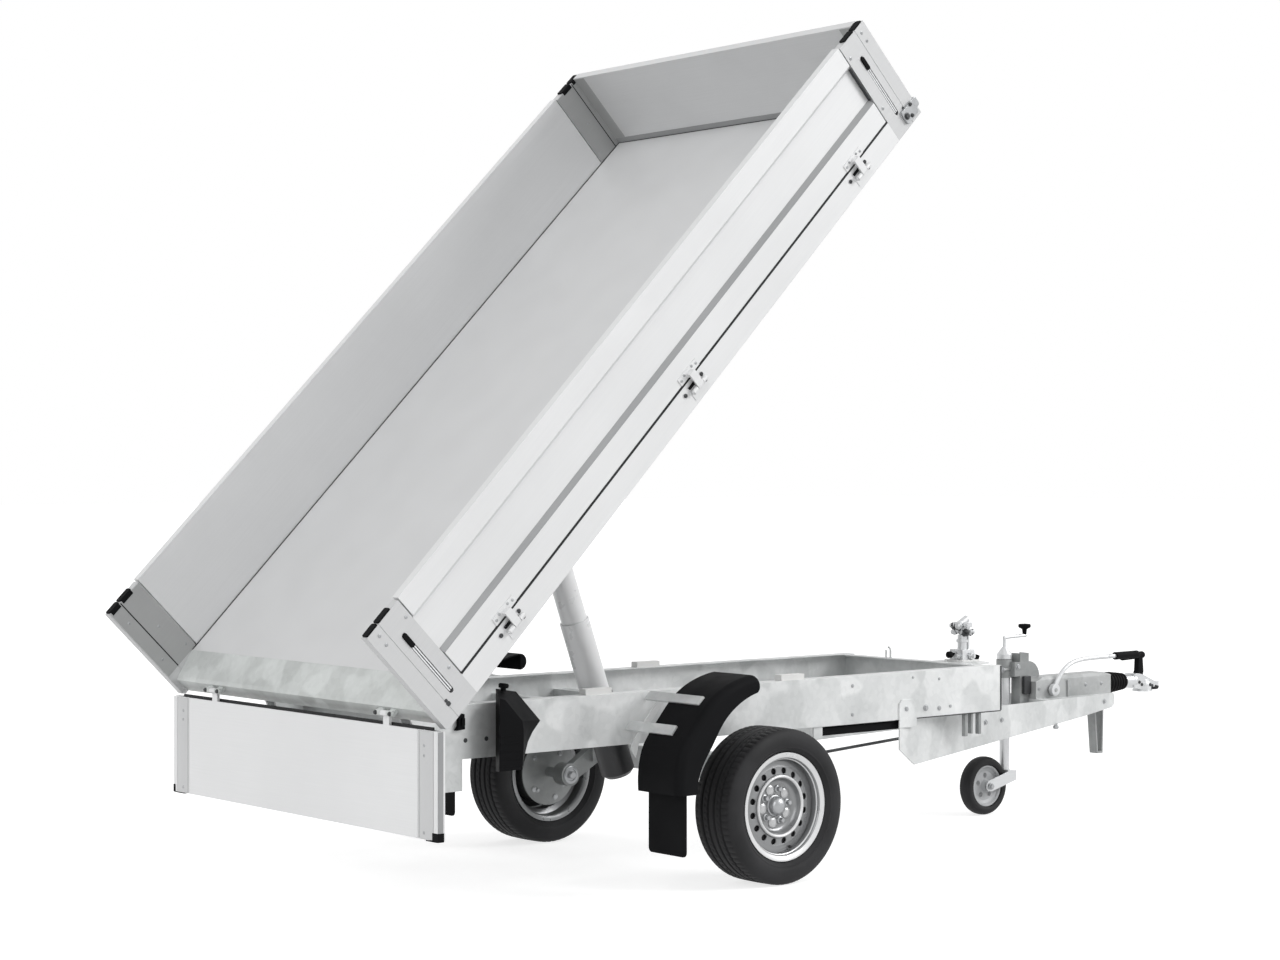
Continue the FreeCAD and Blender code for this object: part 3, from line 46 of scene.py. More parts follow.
# The light: each lamp's name, where it comes from, its strength and its angle
LAMPS = (("key", (0.62, -0.58, 0.53), 1.65, 28), ("fill", (-0.78, -0.30, 0.55), 1.25, 50))
SKY_STRENGTH = 0.60
HORIZON_TONE = 0.72
OVERHEAD_AT = 0.9
FLOOR_SIZE = 160
FLOOR_ROUGH = 0.9
FLOOR_DARK = (0.50, 0.50, 0.50)
FLOOR_LIGHT = (0.56, 0.56, 0.56)
FLOOR_GLOW = 0.74
FLOOR_SHADE = (0.50, 0.50, 0.50, 1)

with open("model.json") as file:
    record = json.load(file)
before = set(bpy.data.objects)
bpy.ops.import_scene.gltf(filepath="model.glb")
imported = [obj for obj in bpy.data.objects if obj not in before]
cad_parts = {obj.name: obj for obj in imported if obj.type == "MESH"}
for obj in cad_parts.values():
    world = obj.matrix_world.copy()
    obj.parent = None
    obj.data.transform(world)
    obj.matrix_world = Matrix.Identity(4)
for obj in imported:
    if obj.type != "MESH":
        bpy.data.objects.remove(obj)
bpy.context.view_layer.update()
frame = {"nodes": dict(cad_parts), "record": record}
scene = bpy.context.scene

GROUND = Matrix.Scale(0.001, 4) @ Matrix.Translation([-c for c in BALL])
BED = (GROUND @ Matrix.Translation(HINGE) @ Matrix.Rotation(radians(-TILT), 4, "Y")
       @ Matrix.Translation([-c for c in HINGE_IN_BED]))
GATE = (BED @ Matrix.Translation(GATE_PIVOT) @ Matrix.Rotation(radians(TILT - 180), 4, "Y")
        @ Matrix.Translation([-c for c in GATE_PIVOT]))


# Materials


class Net:
    """A tree of shader nodes."""

    def __init__(self, tree):
        self.tree = tree

    def node(self, kind, inputs=None, **values):
        """A new node, with the inputs and properties that are given."""
        made = self.tree.nodes.new(kind)
        for name, value in values.items():
            setattr(made, name, value)
        for name, value in (inputs or {}).items():
            made.inputs[name].default_value = value
        return made

    def link(self, source, target):
        self.tree.links.new(source, target)

    def joined(self, operation, a, b, clamp=False):
        result = self.node("ShaderNodeMath", operation=operation, use_clamp=clamp)
        self.link(a, result.inputs[0])
        self.link(b, result.inputs[1])
        return result.outputs["Value"]

    def seen_directly(self):
        """A factor that is 1 for camera, glossy and transmission rays."""
        path = self.node("ShaderNodeLightPath")
        total = path.outputs["Is Camera Ray"]
        for name in ("Is Glossy Ray", "Is Transmission Ray"):
            total = self.joined("MAXIMUM", total, path.outputs[name])
        return total


class Surface(Net):
    """A procedural material, whose colour, roughness and relief vary over it."""

    def __init__(self, rough, metallic, edge=1.5):
        self.material = bpy.data.materials.new("finish")
        self.material.use_nodes = True
        super().__init__(self.material.node_tree)
        self.shader = self.tree.nodes["Principled BSDF"]
        self.shader.inputs["Metallic"].default_value = metallic
        self.shader.inputs["Roughness"].default_value = rough
        self.place = self.node("ShaderNodeTexCoord").outputs["Object"]
        bevel = self.node("ShaderNodeBevel", {"Radius": edge / 1000}, samples=4)
        self.normal = bevel.outputs["Normal"]
        self.link(self.normal, self.shader.inputs["Normal"])

    def turned(self, stretch=(1, 1, 1), turn=0):
        """The place in the object, turned round the y axis and then stretched."""
        rotate = self.node("ShaderNodeVectorRotate", {"Angle": radians(turn)}, rotation_type="Y_AXIS")
        self.link(self.place, rotate.inputs["Vector"])
        mapping = self.node("ShaderNodeMapping", {"Scale": stretch})
        self.link(rotate.outputs["Vector"], mapping.inputs["Vector"])
        return mapping.outputs["Vector"]

    def noise(self, scale, detail=3.0, stretch=(1, 1, 1), turn=0):
        noise = self.node("ShaderNodeTexNoise", {"Scale": scale, "Detail": detail})
        self.link(self.turned(stretch, turn), noise.inputs["Vector"])
        return noise.outputs["Fac"]

    def cells(self, scale, blur):
        """Soft-edged patches, each with a grey of its own."""
        cells = self.node("ShaderNodeTexVoronoi", {"Scale": scale, "Smoothness": blur}, feature="SMOOTH_F1")
        self.link(self.turned(), cells.inputs["Vector"])
        grey = self.node("ShaderNodeRGBToBW")
        self.link(cells.outputs["Color"], grey.inputs["Color"])
        return grey.outputs["Val"]

    def ranged(self, source, low, high, start=0.0, end=1.0):
        """A value's range from start to end, stretched to that from low to high."""
        limits = {"From Min": start, "From Max": end, "To Min": low, "To Max": high}
        ranged = self.node("ShaderNodeMapRange", limits)
        self.link(source, ranged.inputs["Value"])
        return ranged.outputs["Result"]

    def coloured(self, dark, light, factor):
        mix = self.node("ShaderNodeMix", {6: (*dark, 1), 7: (*light, 1)}, data_type="RGBA")
        self.link(factor, mix.inputs[0])
        self.link(mix.outputs[2], self.shader.inputs["Base Color"])

    def roughened(self, source, low, high, start=0.3, end=0.7):
        self.link(self.ranged(source, low, high, start, end), self.shader.inputs["Roughness"])

    def embossed(self, height, depth, strength):
        bump = self.node("ShaderNodeBump", {"Distance": depth / 1000, "Strength": strength})
        self.link(height, bump.inputs["Height"])
        self.link(self.normal, bump.inputs["Normal"])
        self.normal = bump.outputs["Normal"]
        self.link(self.normal, self.shader.inputs["Normal"])


def galvanised(dark, light, rough=0.46, metallic=0.35):
    """Zinc from the bath: large soft patches, a finer grain in them and slow clouds over both."""
    s = Surface(rough, metallic)
    patches = s.cells(scale=13, blur=0.35)
    grain = s.cells(scale=60, blur=0.2)
    cloud = s.noise(scale=3.0, detail=4)
    total = s.ranged(patches, low=0.22, high=0.72, start=0.2, end=0.8)
    for source, reach in ((grain, 0.07), (cloud, 0.35)):
        total = s.joined("ADD", total, s.ranged(source, -reach, reach, start=0.25, end=0.75), clamp=True)
    s.coloured(dark, light, total)
    s.roughened(patches, rough - 0.07, rough + 0.09, start=0.2, end=0.8)
    s.embossed(s.noise(scale=140, detail=2), depth=0.2, strength=0.5)
    return s.material


ALONG = (0.6, 40, 40)
ACROSS = (40, 0.6, 40)


def brushed(dark, light, rough, metallic, stretch=ALONG, turn=0):
    """Metal with fine lines along the axis that is stretched least."""
    s = Surface(rough, metallic)
    lines = s.noise(scale=7, detail=4, stretch=stretch, turn=turn)
    cloud = s.noise(scale=2.0, detail=3)
    line_tone = s.ranged(lines, low=0.72, high=1.0, start=0.3, end=0.7)
    cloud_tone = s.ranged(cloud, low=0.6, high=1.0, start=0.35, end=0.65)
    s.coloured(dark, light, s.joined("MULTIPLY", line_tone, cloud_tone))
    s.roughened(lines, rough - 0.05, rough + 0.06)
    s.embossed(lines, depth=0.05, strength=0.25)
    return s.material


def coated(colour, rough, metallic=0.0, grain=220, depth=0.08, vary=0.12, coat=0.0, shine=0.5):
    """Paint, plastic or plain steel with a fine grain."""
    s = Surface(rough, metallic)
    s.shader.inputs["Specular IOR Level"].default_value = shine
    cloud = s.noise(scale=7, detail=4)
    dark = [c * (1 - vary) for c in colour]
    light = [min(c * (1 + vary * 0.4), 1) for c in colour]
    s.coloured(dark, light, s.ranged(cloud, low=0, high=1, start=0.3, end=0.7))
    s.shader.inputs["Coat Weight"].default_value = coat
    s.roughened(s.noise(scale=14, detail=5), rough - 0.05, rough + 0.07)
    s.embossed(s.noise(scale=grain, detail=2), depth, strength=0.6)
    return s.material


def rubber(colour, rough):
    """Rubber with a little dust on it."""
    s = Surface(rough, 0.0, edge=1.0)
    s.shader.inputs["Specular IOR Level"].default_value = 0.3
    dust = s.noise(scale=5, detail=5)
    dusty = [min(c * 2.1 + 0.012, 1) for c in colour]
    s.coloured(colour, dusty, s.ranged(dust, low=0, high=1, start=0.42, end=0.75))
    s.roughened(dust, rough - 0.06, rough + 0.1)
    s.embossed(s.noise(scale=260, detail=3), depth=0.12, strength=0.7)
    return s.material


# Each finish: its dark and light tone or its colour, then its roughness and its metallic share
MATERIALS = {
    "galvanised": galvanised((0.54, 0.555, 0.555), (0.80, 0.81, 0.81)),
    "zinc": brushed((0.55, 0.56, 0.57), (0.78, 0.79, 0.80), 0.34, 0.5),
    "aluminium": brushed((0.66, 0.665, 0.67), (0.75, 0.755, 0.76), 0.42, 0.25, turn=TILT),
    "wheel_paint": coated((0.28, 0.285, 0.29), 0.30, 0.55, vary=0.10),
    "drum_iron": galvanised((0.06, 0.062, 0.065), (0.12, 0.122, 0.125), 0.55),
    "ram_white": coated((0.80, 0.805, 0.81), 0.30, 0.1, vary=0.05),
    "ram_dark": coated((0.016, 0.016, 0.018), 0.42),
    "pump_metal": brushed((0.40, 0.41, 0.42), (0.70, 0.71, 0.72), 0.35, 0.6),
    "black_plastic": coated((0.008, 0.0082, 0.009), 0.62, grain=420, vary=0.2, shine=0.05),
    "white_plastic": coated((0.78, 0.78, 0.77), 0.45, vary=0.06),
    "grey_plastic": coated((0.52, 0.53, 0.54), 0.42, vary=0.08),
    "black_rubber": rubber((0.009, 0.009, 0.010), 0.62),
    "lamp_red": coated((0.45, 0.012, 0.012), 0.18, vary=0.1, coat=0.6),
    "tyre": rubber((0.009, 0.009, 0.010), 0.66),
    "steel": coated((0.42, 0.43, 0.44), 0.32, 0.6, vary=0.15),
    "dark_steel": coated((0.05, 0.052, 0.055), 0.45, 0.4, vary=0.2),
    # Painted shade: a darker aluminium laid where shade falls, in the side walls' recesses, on the
    # tailgate's ends and along the front wall's foot
    "painted_shade_aluminium": brushed((0.24, 0.245, 0.25), (0.33, 0.335, 0.34), 0.5, 0.2, turn=TILT),
    # A darker aluminium: a darker tone of their own on the posts' inner faces, and painted shade at the
    # front wall's ends
    "dark_tone_and_shade_aluminium": brushed((0.34, 0.345, 0.345), (0.43, 0.435, 0.435), 0.42, 0.35, turn=TILT),
    "gate_aluminium": brushed((0.70, 0.705, 0.71), (0.80, 0.805, 0.81), 0.42, 0.25, ACROSS),
    # Painted shade: the front wall's face in a darker tone than the other aluminium
    "front_wall_shade_aluminium": brushed((0.58, 0.585, 0.59), (0.70, 0.705, 0.71), 0.4, 0.3, ACROSS),
    "rail_aluminium": brushed((0.50, 0.505, 0.51), (0.60, 0.605, 0.61), 0.4, 0.25, turn=TILT),
    # Painted highlight on the rim's edges
    "painted_highlight": coated((0.74, 0.745, 0.75), 0.30, 0.25, vary=0.06),
    "mid_paint": coated((0.54, 0.545, 0.55), 0.28, 0.45, vary=0.08),
    "boot": coated((0.006, 0.006, 0.0065), 0.6, grain=120, shine=0.1),
    "housing": galvanised((0.36, 0.37, 0.37), (0.55, 0.56, 0.56)),
    "dim_zinc": galvanised((0.22, 0.23, 0.23), (0.36, 0.37, 0.37)),
    "floor_sheet": coated((0.64, 0.645, 0.65), 0.44, 0.15, grain=90, depth=0.05, vary=0.03),
    "sill": galvanised((0.47, 0.49, 0.48), (0.70, 0.725, 0.715)),
}
for name, material in MATERIALS.items():
    material.name = name

# Nodes whose finish differs from the rest of their slot
NODE_FINISH = {"bed_floor": "floor_sheet", "rear_sill": "sill", "tailgate": "gate_aluminium",
               "front_wall": "front_wall_shade_aluminium", "bed_posts": "rail_aluminium",
               "overrun_housing": "housing", "jockey_bracket": "dim_zinc", "bellows": "boot",
               "brake_rod": "dark_steel", "swing_arms": "dim_zinc",
               "foot_support": "dim_zinc", "coupling_head": "pump_metal"}

for part in frame["record"]["subparts"]:
    mesh = frame["nodes"][part["node"]].data
    mesh.materials.clear()
    mesh.materials.append(MATERIALS[NODE_FINISH.get(part["node"], part["material_slot"])])


# Shapes. Each is added to a mesh under construction, in millimetres.

CHASSIS = (GROUND, "chassis")
ON_BED = (BED, "bed")
ON_GATE = (GATE, "tailgate")

SHARP_ANGLE = 38
BEVEL_ANGLE = 40


def span(side, a, b):
    """Two distances from the middle, as a range of y on one side."""
    return sorted((side * a, side * b))


def add_prism(bm, outline, axis, start, end):
    """An outline in the plane across an axis, drawn out along it. Its points keep the order x, y, z."""
    rings = []
    for level in (start, end):
        ring = []
        for point in outline:
            place = list(point)
            place.insert(axis, level)
            ring.append(bm.verts.new(place))
        rings.append(ring)
    near, far = rings
    bm.faces.new(near)
    bm.faces.new(far[::-1])
    for i in range(len(outline)):
        j = (i + 1) % len(outline)
        bm.faces.new((near[i], far[i], far[j], near[j]))


def add_block(bm, low, high):
    corners = [(low[0], low[1]), (high[0], low[1]), (high[0], high[1]), (low[0], high[1])]
    add_prism(bm, corners, 2, low[2], high[2])


def add_slab(bm, side, low, high, inner, outer):
    """An upright block from a low to a high corner, between two distances from the middle on one side."""
    start, end = span(side, inner, outer)
    add_block(bm, (low[0], start, low[1]), (high[0], end, high[1]))


def rounded(low, high, radius, steps=4):
    """A rounded rectangle's outline between two corners."""
    points = []
    centres = [(high[0] - radius, high[1] - radius, 0), (low[0] + radius, high[1] - radius, 90),
               (low[0] + radius, low[1] + radius, 180), (high[0] - radius, low[1] + radius, 270)]
    for x, y, turn in centres:
        for i in range(steps + 1):
            angle = radians(turn + 90 * i / steps)
            points.append((x + radius * cos(angle), y + radius * sin(angle)))
    return points


def add_plate(bm, side, low, high, radius, inner, outer):
    """An upright plate with rounded corners, between two distances from the middle on one side."""
    add_prism(bm, rounded(low, high, radius), 1, *span(side, inner, outer))


def add_lathe(bm, profile, origin, way, steps=24):
    """A profile of (distance along the axis, radius) turned round it. Ends with a radius of nought close."""
    way = Vector(way).normalized()
    side = way.orthogonal().normalized()
    up = way.cross(side)
    origin = Vector(origin)
    rings = []
    for along, radius in profile:
        if radius < 0.001:
            rings.append([bm.verts.new(origin + way * along)])
            continue
        ring = []
        for i in range(steps):
            angle = tau * i / steps
            spoke = side * cos(angle) + up * sin(angle)
            ring.append(bm.verts.new(origin + way * along + spoke * radius))
        rings.append(ring)
    for a, b in zip(rings, rings[1:]):
        for i in range(steps):
            j = (i + 1) % steps
            if len(a) == 1:
                bm.faces.new((a[0], b[i], b[j]))
            elif len(b) == 1:
                bm.faces.new((a[i], b[0], a[j]))
            else:
                bm.faces.new((a[i], b[i], b[j], a[j]))


def add_screw(bm, place, way, head, height=3.0):
    """A pan-headed screw with a washer under it and a hexagon socket."""
    profile = [(-0.5, head * 1.45), (0.9, head * 1.45), (1.3, head * 1.3), (1.3, head),
               (height * 0.7, head * 0.96), (height, head * 0.74), (height, head * 0.42),
               (height * 0.45, head * 0.38), (height * 0.4, 0)]
    add_lathe(bm, profile, place, way, 14)


def add_bolt(bm, place, way, size, height=6.0):
    """A hexagon head on a washer."""
    washer = [(-0.5, size * 1.35), (1.6, size * 1.35), (2.0, size * 1.25), (2.0, 0)]
    head = [(1.8, size), (height * 0.85, size), (height, size * 0.86), (height, 0)]
    add_lathe(bm, washer, place, way, 20)
    add_lathe(bm, head, place, way, 6)


def save(name, bm, place, material, bevel=0.0):
    """Turns the mesh into a piece that rides on a body. A place is the mesh's space and that body."""
    space, body = place
    bmesh.ops.recalc_face_normals(bm, faces=bm.faces)
    mesh = bpy.data.meshes.new(name)
    bm.to_mesh(mesh)
    bm.free()
    mesh.transform(space)
    mesh.materials.append(MATERIALS[material])
    mesh.shade_smooth()
    mesh.set_sharp_from_angle(angle=radians(SHARP_ANGLE))
    piece = bpy.data.objects.new(name, mesh)
    scene.collection.objects.link(piece)
    if bevel:
        rounding = piece.modifiers.new("rounding", "BEVEL")
        rounding.width = bevel / 1000
        rounding.segments = 2
        rounding.limit_method = "ANGLE"
        rounding.angle_limit = radians(BEVEL_ANGLE)
        rounding.harden_normals = True
    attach(piece, body)
    return piece


def save_turned(name, profile, origin, way, steps, place, material):
    bm = bmesh.new()
    add_lathe(bm, profile, origin, way, steps)
    save(name, bm, place, material)


# The bed. HALF_BED is the outer face of the walls, and a post's own distances run from the bed's end.

SIDES = (("right", -1), ("left", 1))
HALF_BED = 789
BED_LENGTH = 2850
WALL_THICK = 30
WALL_LOW = 88
WALL_HIGH = 410
POST_PLAIN = 56
POST_FULL = 153
POST_SEAM = 2.2
INNER_FACE = HALF_BED - WALL_THICK
FRONT_FACE = BED_LENGTH - WALL_THICK - 4

# Post caps: each one's ends, and how far its leg stands back from them
CAP_FOOT = 404
CAP_SPANS = ((4.5, POST_PLAIN - 1), (POST_PLAIN + 3, POST_PLAIN + 62))
CAP_CORNER = 6
CAP_LEG_IN = 4
CAP_LEG_LOW = 13

# Latches: the mesh, its start and end from the latch's middle, its foot and top, its corners' radius, and
# its inner and outer face from the wall's outer face
LATCH_AT = 95
LATCH_PLATES = (("bars", -6.5, -1.6, 78, 300, 2, -7, -0.6),
                ("bars", 1.6, 6.5, 78, 300, 2, -7, -0.6),
                ("ends", -7.5, 7.5, 74, 312, 4, -7.5, -3),
                ("knobs", -8, 8, 268, 318, 5, -7, 5))
# The two dark plates below each latch: their height and half their size
LATCH_FEET_AT = 60
LATCH_FEET = ((68, 5), (55, 7))

# Screws in the posts: distance from the bed's end and height
OUTER_SCREWS = ((35, 378), (33, 342), (137, 349), (137, 130))
INNER_SCREWS = ((30, 330), (100, 240), (30, 150), (128, 120))

# The front lock's plates: their low and high corner, corner radius, and inner and outer face
LOCK_PLATES = (((2764, 14), (2838, 66), 8, 0, 9), ((2830, 26), (2864, 62), 9, -22, 2))
# Its bolts: u, v and size
LOCK_BOLTS = ((2818, 60, 5.6), (2778, 40, 9.6), (2800, 26, 5.6))

# The recess in each side wall
RECESS_START = POST_FULL + 5
RECESS_END = BED_LENGTH - POST_FULL - 5
RECESS_FOOT = WALL_LOW + 84
RECESS_TOP = WALL_HIGH - 76
RECESS_DEPTH = 15
STRIP = 0.5

# The side walls' hinges, and each screw's or bolt's offset along the bed and its height
WALL_HINGES = (395, 1435, 2480)
HINGE_SCREWS = ((-42, 101), (-22, 107), (22, 107), (42, 101))
HINGE_BOLTS = ((-62, 55), (36, 34), (36, 59))
# The dark bar above each hinge's knuckle, which paints the shade there: its low and high corner, as offset
# along the bed and height
SHADE_BAR_LOW = (-38, 56)
SHADE_BAR_HIGH = (15, 66)

# The tailgate's outer face and half its width, and its trim's places from the middle and in height
GATE_FACE = -2
GATE_HALF = 779
GATE_LOW = 86
GATE_TOP = WALL_HIGH - 2
GATE_SCREWS_AT = 712
GATE_SCREWS = (130, 160, 390)
# The band's crown: height over the face and distance from the middle
GATE_BAND = ((-0.3, 684), (1.4, 690), (2.4, 720), (1.4, 750), (-0.3, 757))
GATE_GROOVE = (681, 684.5)
# The caps: where they start, and each one's side and where its leg starts
GATE_CAP_START = 712
GATE_CAPS = ((-1, 738), (1, 768))
# The dark strip along the tailgate's edge, which paints the shade seen through the gap below the sill: half
# its length, and its section as distance out from the gate's face and height
GATE_SHADOW_STRIP_HALF = 735
GATE_SHADOW_STRIP = ((-20, 76), (-15, 76), (-11, 85), (-20, 85))
GATE_HINGE = 508
GATE_BOLT_OUT = 6.2
GATE_BOLTS = (-38, 38)

# Seals
SEAL_TOP = 87.4
FLOOR_SEAL_LOW = 87.3
FLOOR_SEAL_TOP = 89.6
SEAL_START = 132

# Plates inside the bed
INNER_FOOT = 90
INNER_TOP = CAP_FOOT - 3
REAR_PLATE_START = 4
FRONT_PLATE_START = 36
END_PLATE = 58
END_PLATE_FOOT = 112


def post_places():
    """Each corner post: which end, its side, and how a distance from the bed's end becomes u."""
    for side in (-1, 1):
        yield "rear", side, lambda d: d
        yield "front", side, lambda d: BED_LENGTH - d


def make_post_caps():
    bm = bmesh.new()
    face = INNER_FACE + 1
    for _, side, to_u in post_places():
        for near, far in CAP_SPANS:
            start, end = sorted((to_u(near), to_u(far)))
            low, high = span(side, HALF_BED - 1, face)
            add_prism(bm, rounded((start, low), (end, high), CAP_CORNER), 2, CAP_FOOT - 0.5, CAP_FOOT + 5)
            start, end = sorted((to_u(near + CAP_LEG_IN), to_u(far - CAP_LEG_IN)))
            add_slab(bm, side, (start, CAP_FOOT - CAP_LEG_LOW), (end, CAP_FOOT + 3), face - 2.5, face)
    save("post_caps", bm, ON_BED, "black_plastic", 1.2)


def make_latches():
    """A slot in each post with two bars, the knob that slides in it, and two dark plates below."""
    meshes = {"bars": bmesh.new(), "ends": bmesh.new(), "knobs": bmesh.new()}
    for _, side, to_u in post_places():
        u = to_u(LATCH_AT)
        for part, start, end, foot, top, corner, inner, outer in LATCH_PLATES:
            add_plate(meshes[part], side, (u + start, foot), (u + end, top), corner,
                      HALF_BED + inner, HALF_BED + outer)
        u = to_u(LATCH_FEET_AT)
        for v, size in LATCH_FEET:
            add_plate(meshes["ends"], side, (u - size, v - size), (u + size, v + size), size * 0.6,
                      HALF_BED - 1, HALF_BED + 2)
    save("latch_bars", meshes["bars"], ON_BED, "zinc", 0.8)
    save("latch_knobs", meshes["knobs"], ON_BED, "black_plastic", 1.5)
    save("latch_ends", meshes["ends"], ON_BED, "dark_steel", 0.8)


def make_post_screws():
    bm = bmesh.new()
    for _, side, to_u in post_places():
        for d, v in OUTER_SCREWS:
            add_screw(bm, (to_u(d), side * HALF_BED, v), (0, side, 0), 4.2)
        for d, v in INNER_SCREWS:
            add_screw(bm, (to_u(d), side * INNER_FACE, v), (0, -side, 0), 3.6)
    save("post_screws", bm, ON_BED, "steel")


def make_front_locks():
    """The lock plates at the foot of the front posts, with their dark bolts."""
    plates = bmesh.new()
    bolts = bmesh.new()
    for side in (-1, 1):
        for low, high, corner, inner, outer in LOCK_PLATES:
            add_plate(plates, side, low, high, corner, HALF_BED + inner, HALF_BED + outer)
        for u, v, size in LOCK_BOLTS:
            add_bolt(bolts, (u, side * (HALF_BED + 8.5), v), (0, side, 0), size, 7)
    save("front_lock_plates", plates, ON_BED, "steel", 1.5)
    save("front_lock_bolts", bolts, ON_BED, "dark_steel")


def make_recess_shade_strips(side_name, side):
    """Dark strips of painted shade on the slope at the foot and at the front end of a side wall's recess."""
    wall = (BED, "wall_" + side_name)
    deep = HALF_BED - RECESS_DEPTH
    slope = bmesh.new()
    section = [(side * (HALF_BED + STRIP), RECESS_FOOT - STRIP),
               (side * (deep + STRIP), RECESS_FOOT + RECESS_DEPTH + STRIP),
               (side * (deep - STRIP), RECESS_FOOT + RECESS_DEPTH),
               (side * (HALF_BED - STRIP), RECESS_FOOT - 2 * STRIP)]
    add_prism(slope, section, 0, RECESS_START, RECESS_END)
    save("recess_shade_foot_" + side_name, slope, wall, "painted_shade_aluminium")
    end = bmesh.new()
    add_slab(end, side, (RECESS_END - 3, RECESS_FOOT + 14), (RECESS_END - 1, RECESS_TOP - 14),
             HALF_BED - 1, deep + 1)
    save("recess_shade_end_" + side_name, end, wall, "dark_steel")


def make_wall_hinge_trim(side_name, side):
    wall = (BED, "wall_" + side_name)
    screws = bmesh.new()
    bolts = bmesh.new()
    shade_bars = bmesh.new()
    for u in WALL_HINGES:
        for du, v in HINGE_SCREWS:
            add_screw(screws, (u + du, side * (HALF_BED + 3), v), (0, side, 0), 3.6, 2.6)
        for du, v in HINGE_BOLTS:
            add_screw(bolts, (u + du, side * (HALF_BED + 2), v), (0, side, 0), 5.0)
        # A dark bar of painted shade above each knuckle
        add_plate(shade_bars, side, (u + SHADE_BAR_LOW[0], SHADE_BAR_LOW[1]), (u + SHADE_BAR_HIGH[0], SHADE_BAR_HIGH[1]), 3,
                  HALF_BED + 1, HALF_BED + 4.5)
    save("hinge_screws_" + side_name, screws, wall, "steel")
    save("hinge_bolts_" + side_name, bolts, ON_BED, "dark_steel")
    save("hinge_shade_bars_" + side_name, shade_bars, ON_BED, "black_plastic", 1.0)


def make_gate_screws():
    bm = bmesh.new()
    for side in (-1, 1):
        for v in GATE_SCREWS:
            add_screw(bm, (GATE_FACE + 1.5, side * GATE_SCREWS_AT, v), (1, 0, 0), 3.6, 2.6)
    save("gate_screws", bm, ON_GATE, "steel")


def make_gate_ends():
    """At each end of the tailgate the crowned band, its groove, and the dark channel that closes the end,
    whose colour is painted shade.
    """
    bands = bmesh.new()
    grooves_and_shade = bmesh.new()
    for side in (-1, 1):
        crown = [(GATE_FACE + rise, side * y) for rise, y in GATE_BAND]
        add_prism(bands, crown, 2, GATE_LOW, GATE_TOP)
        add_slab(grooves_and_shade, side, (GATE_FACE - 0.5, GATE_LOW), (GATE_FACE + 0.6, GATE_TOP), *GATE_GROOVE)
        add_plate(grooves_and_shade, side, (GATE_FACE - 20, GATE_LOW), (GATE_FACE - 1, GATE_TOP), 2,
                  GATE_HALF - 0.5, GATE_HALF + 1.5)
    save("gate_end_bands", bands, ON_GATE, "rail_aluminium")
    save("gate_end_grooves_and_shade", grooves_and_shade, ON_GATE, "painted_shade_aluminium", 0.6)


# Painted shade: a dark strip in the gap between the tailgate and the sill
def make_gate_shadow_strip():
    bm = bmesh.new()
    add_prism(bm, [(GATE_FACE + out, v) for out, v in GATE_SHADOW_STRIP], 1, -GATE_SHADOW_STRIP_HALF, GATE_SHADOW_STRIP_HALF)
    save("gate_shadow_strip", bm, ON_GATE, "black_rubber")


def make_gate_caps():
    bm = bmesh.new()
    for side, leg in GATE_CAPS:
        low, high = span(side, GATE_CAP_START, GATE_HALF - 4)
        outline = rounded((GATE_FACE - 24, low), (GATE_FACE - 1, high), 6)
        add_prism(bm, outline, 2, WALL_HIGH - 0.5, WALL_HIGH + 4)
        add_slab(bm, side, (GATE_FACE - 22, WALL_HIGH - 24), (GATE_FACE + 0.9, WALL_HIGH + 3),
                 leg, GATE_HALF + 3)
    save("gate_caps", bm, ON_GATE, "black_plastic", 1.0)


def make_gate_hinge_bolts():
    """The bolts beside the tailgate's knuckles, which face straight back while the bed is raised."""
    bm = bmesh.new()
    u = GATE_PIVOT[0] - GATE_BOLT_OUT
    v = GATE_PIVOT[2] + GATE_BOLT_OUT
    for side in (-1, 1):
        for dy in GATE_BOLTS:
            add_bolt(bm, (u, side * (GATE_HINGE + dy), v), (-1, 0, 1), 5.5, 6)
    save("gate_hinge_bolts", bm, ON_BED, "dark_steel")


def make_seals():
    """Dark rubber between the walls and the rails, and along the floor's edges."""
    bm = bmesh.new()
    rail_end = BED_LENGTH - POST_FULL - 1
    for side in (-1, 1):
        add_slab(bm, side, (POST_FULL + 1, 83.8), (rail_end, SEAL_TOP), HALF_BED - 1.5, HALF_BED - 13)
        add_slab(bm, side, (POST_FULL + 1, 80), (rail_end, SEAL_TOP), HALF_BED + 0.8, HALF_BED - 1.6)
        add_slab(bm, side, (SEAL_START, FLOOR_SEAL_LOW), (FRONT_FACE - 2, FLOOR_SEAL_TOP),
                 INNER_FACE - 0.6, INNER_FACE - 3.6)
    inside = INNER_FACE - 4
    add_block(bm, (FRONT_FACE - 3, -inside, FLOOR_SEAL_LOW), (FRONT_FACE - 0.2, inside, FLOOR_SEAL_TOP))
    save("floor_seals", bm, ON_BED, "black_rubber")


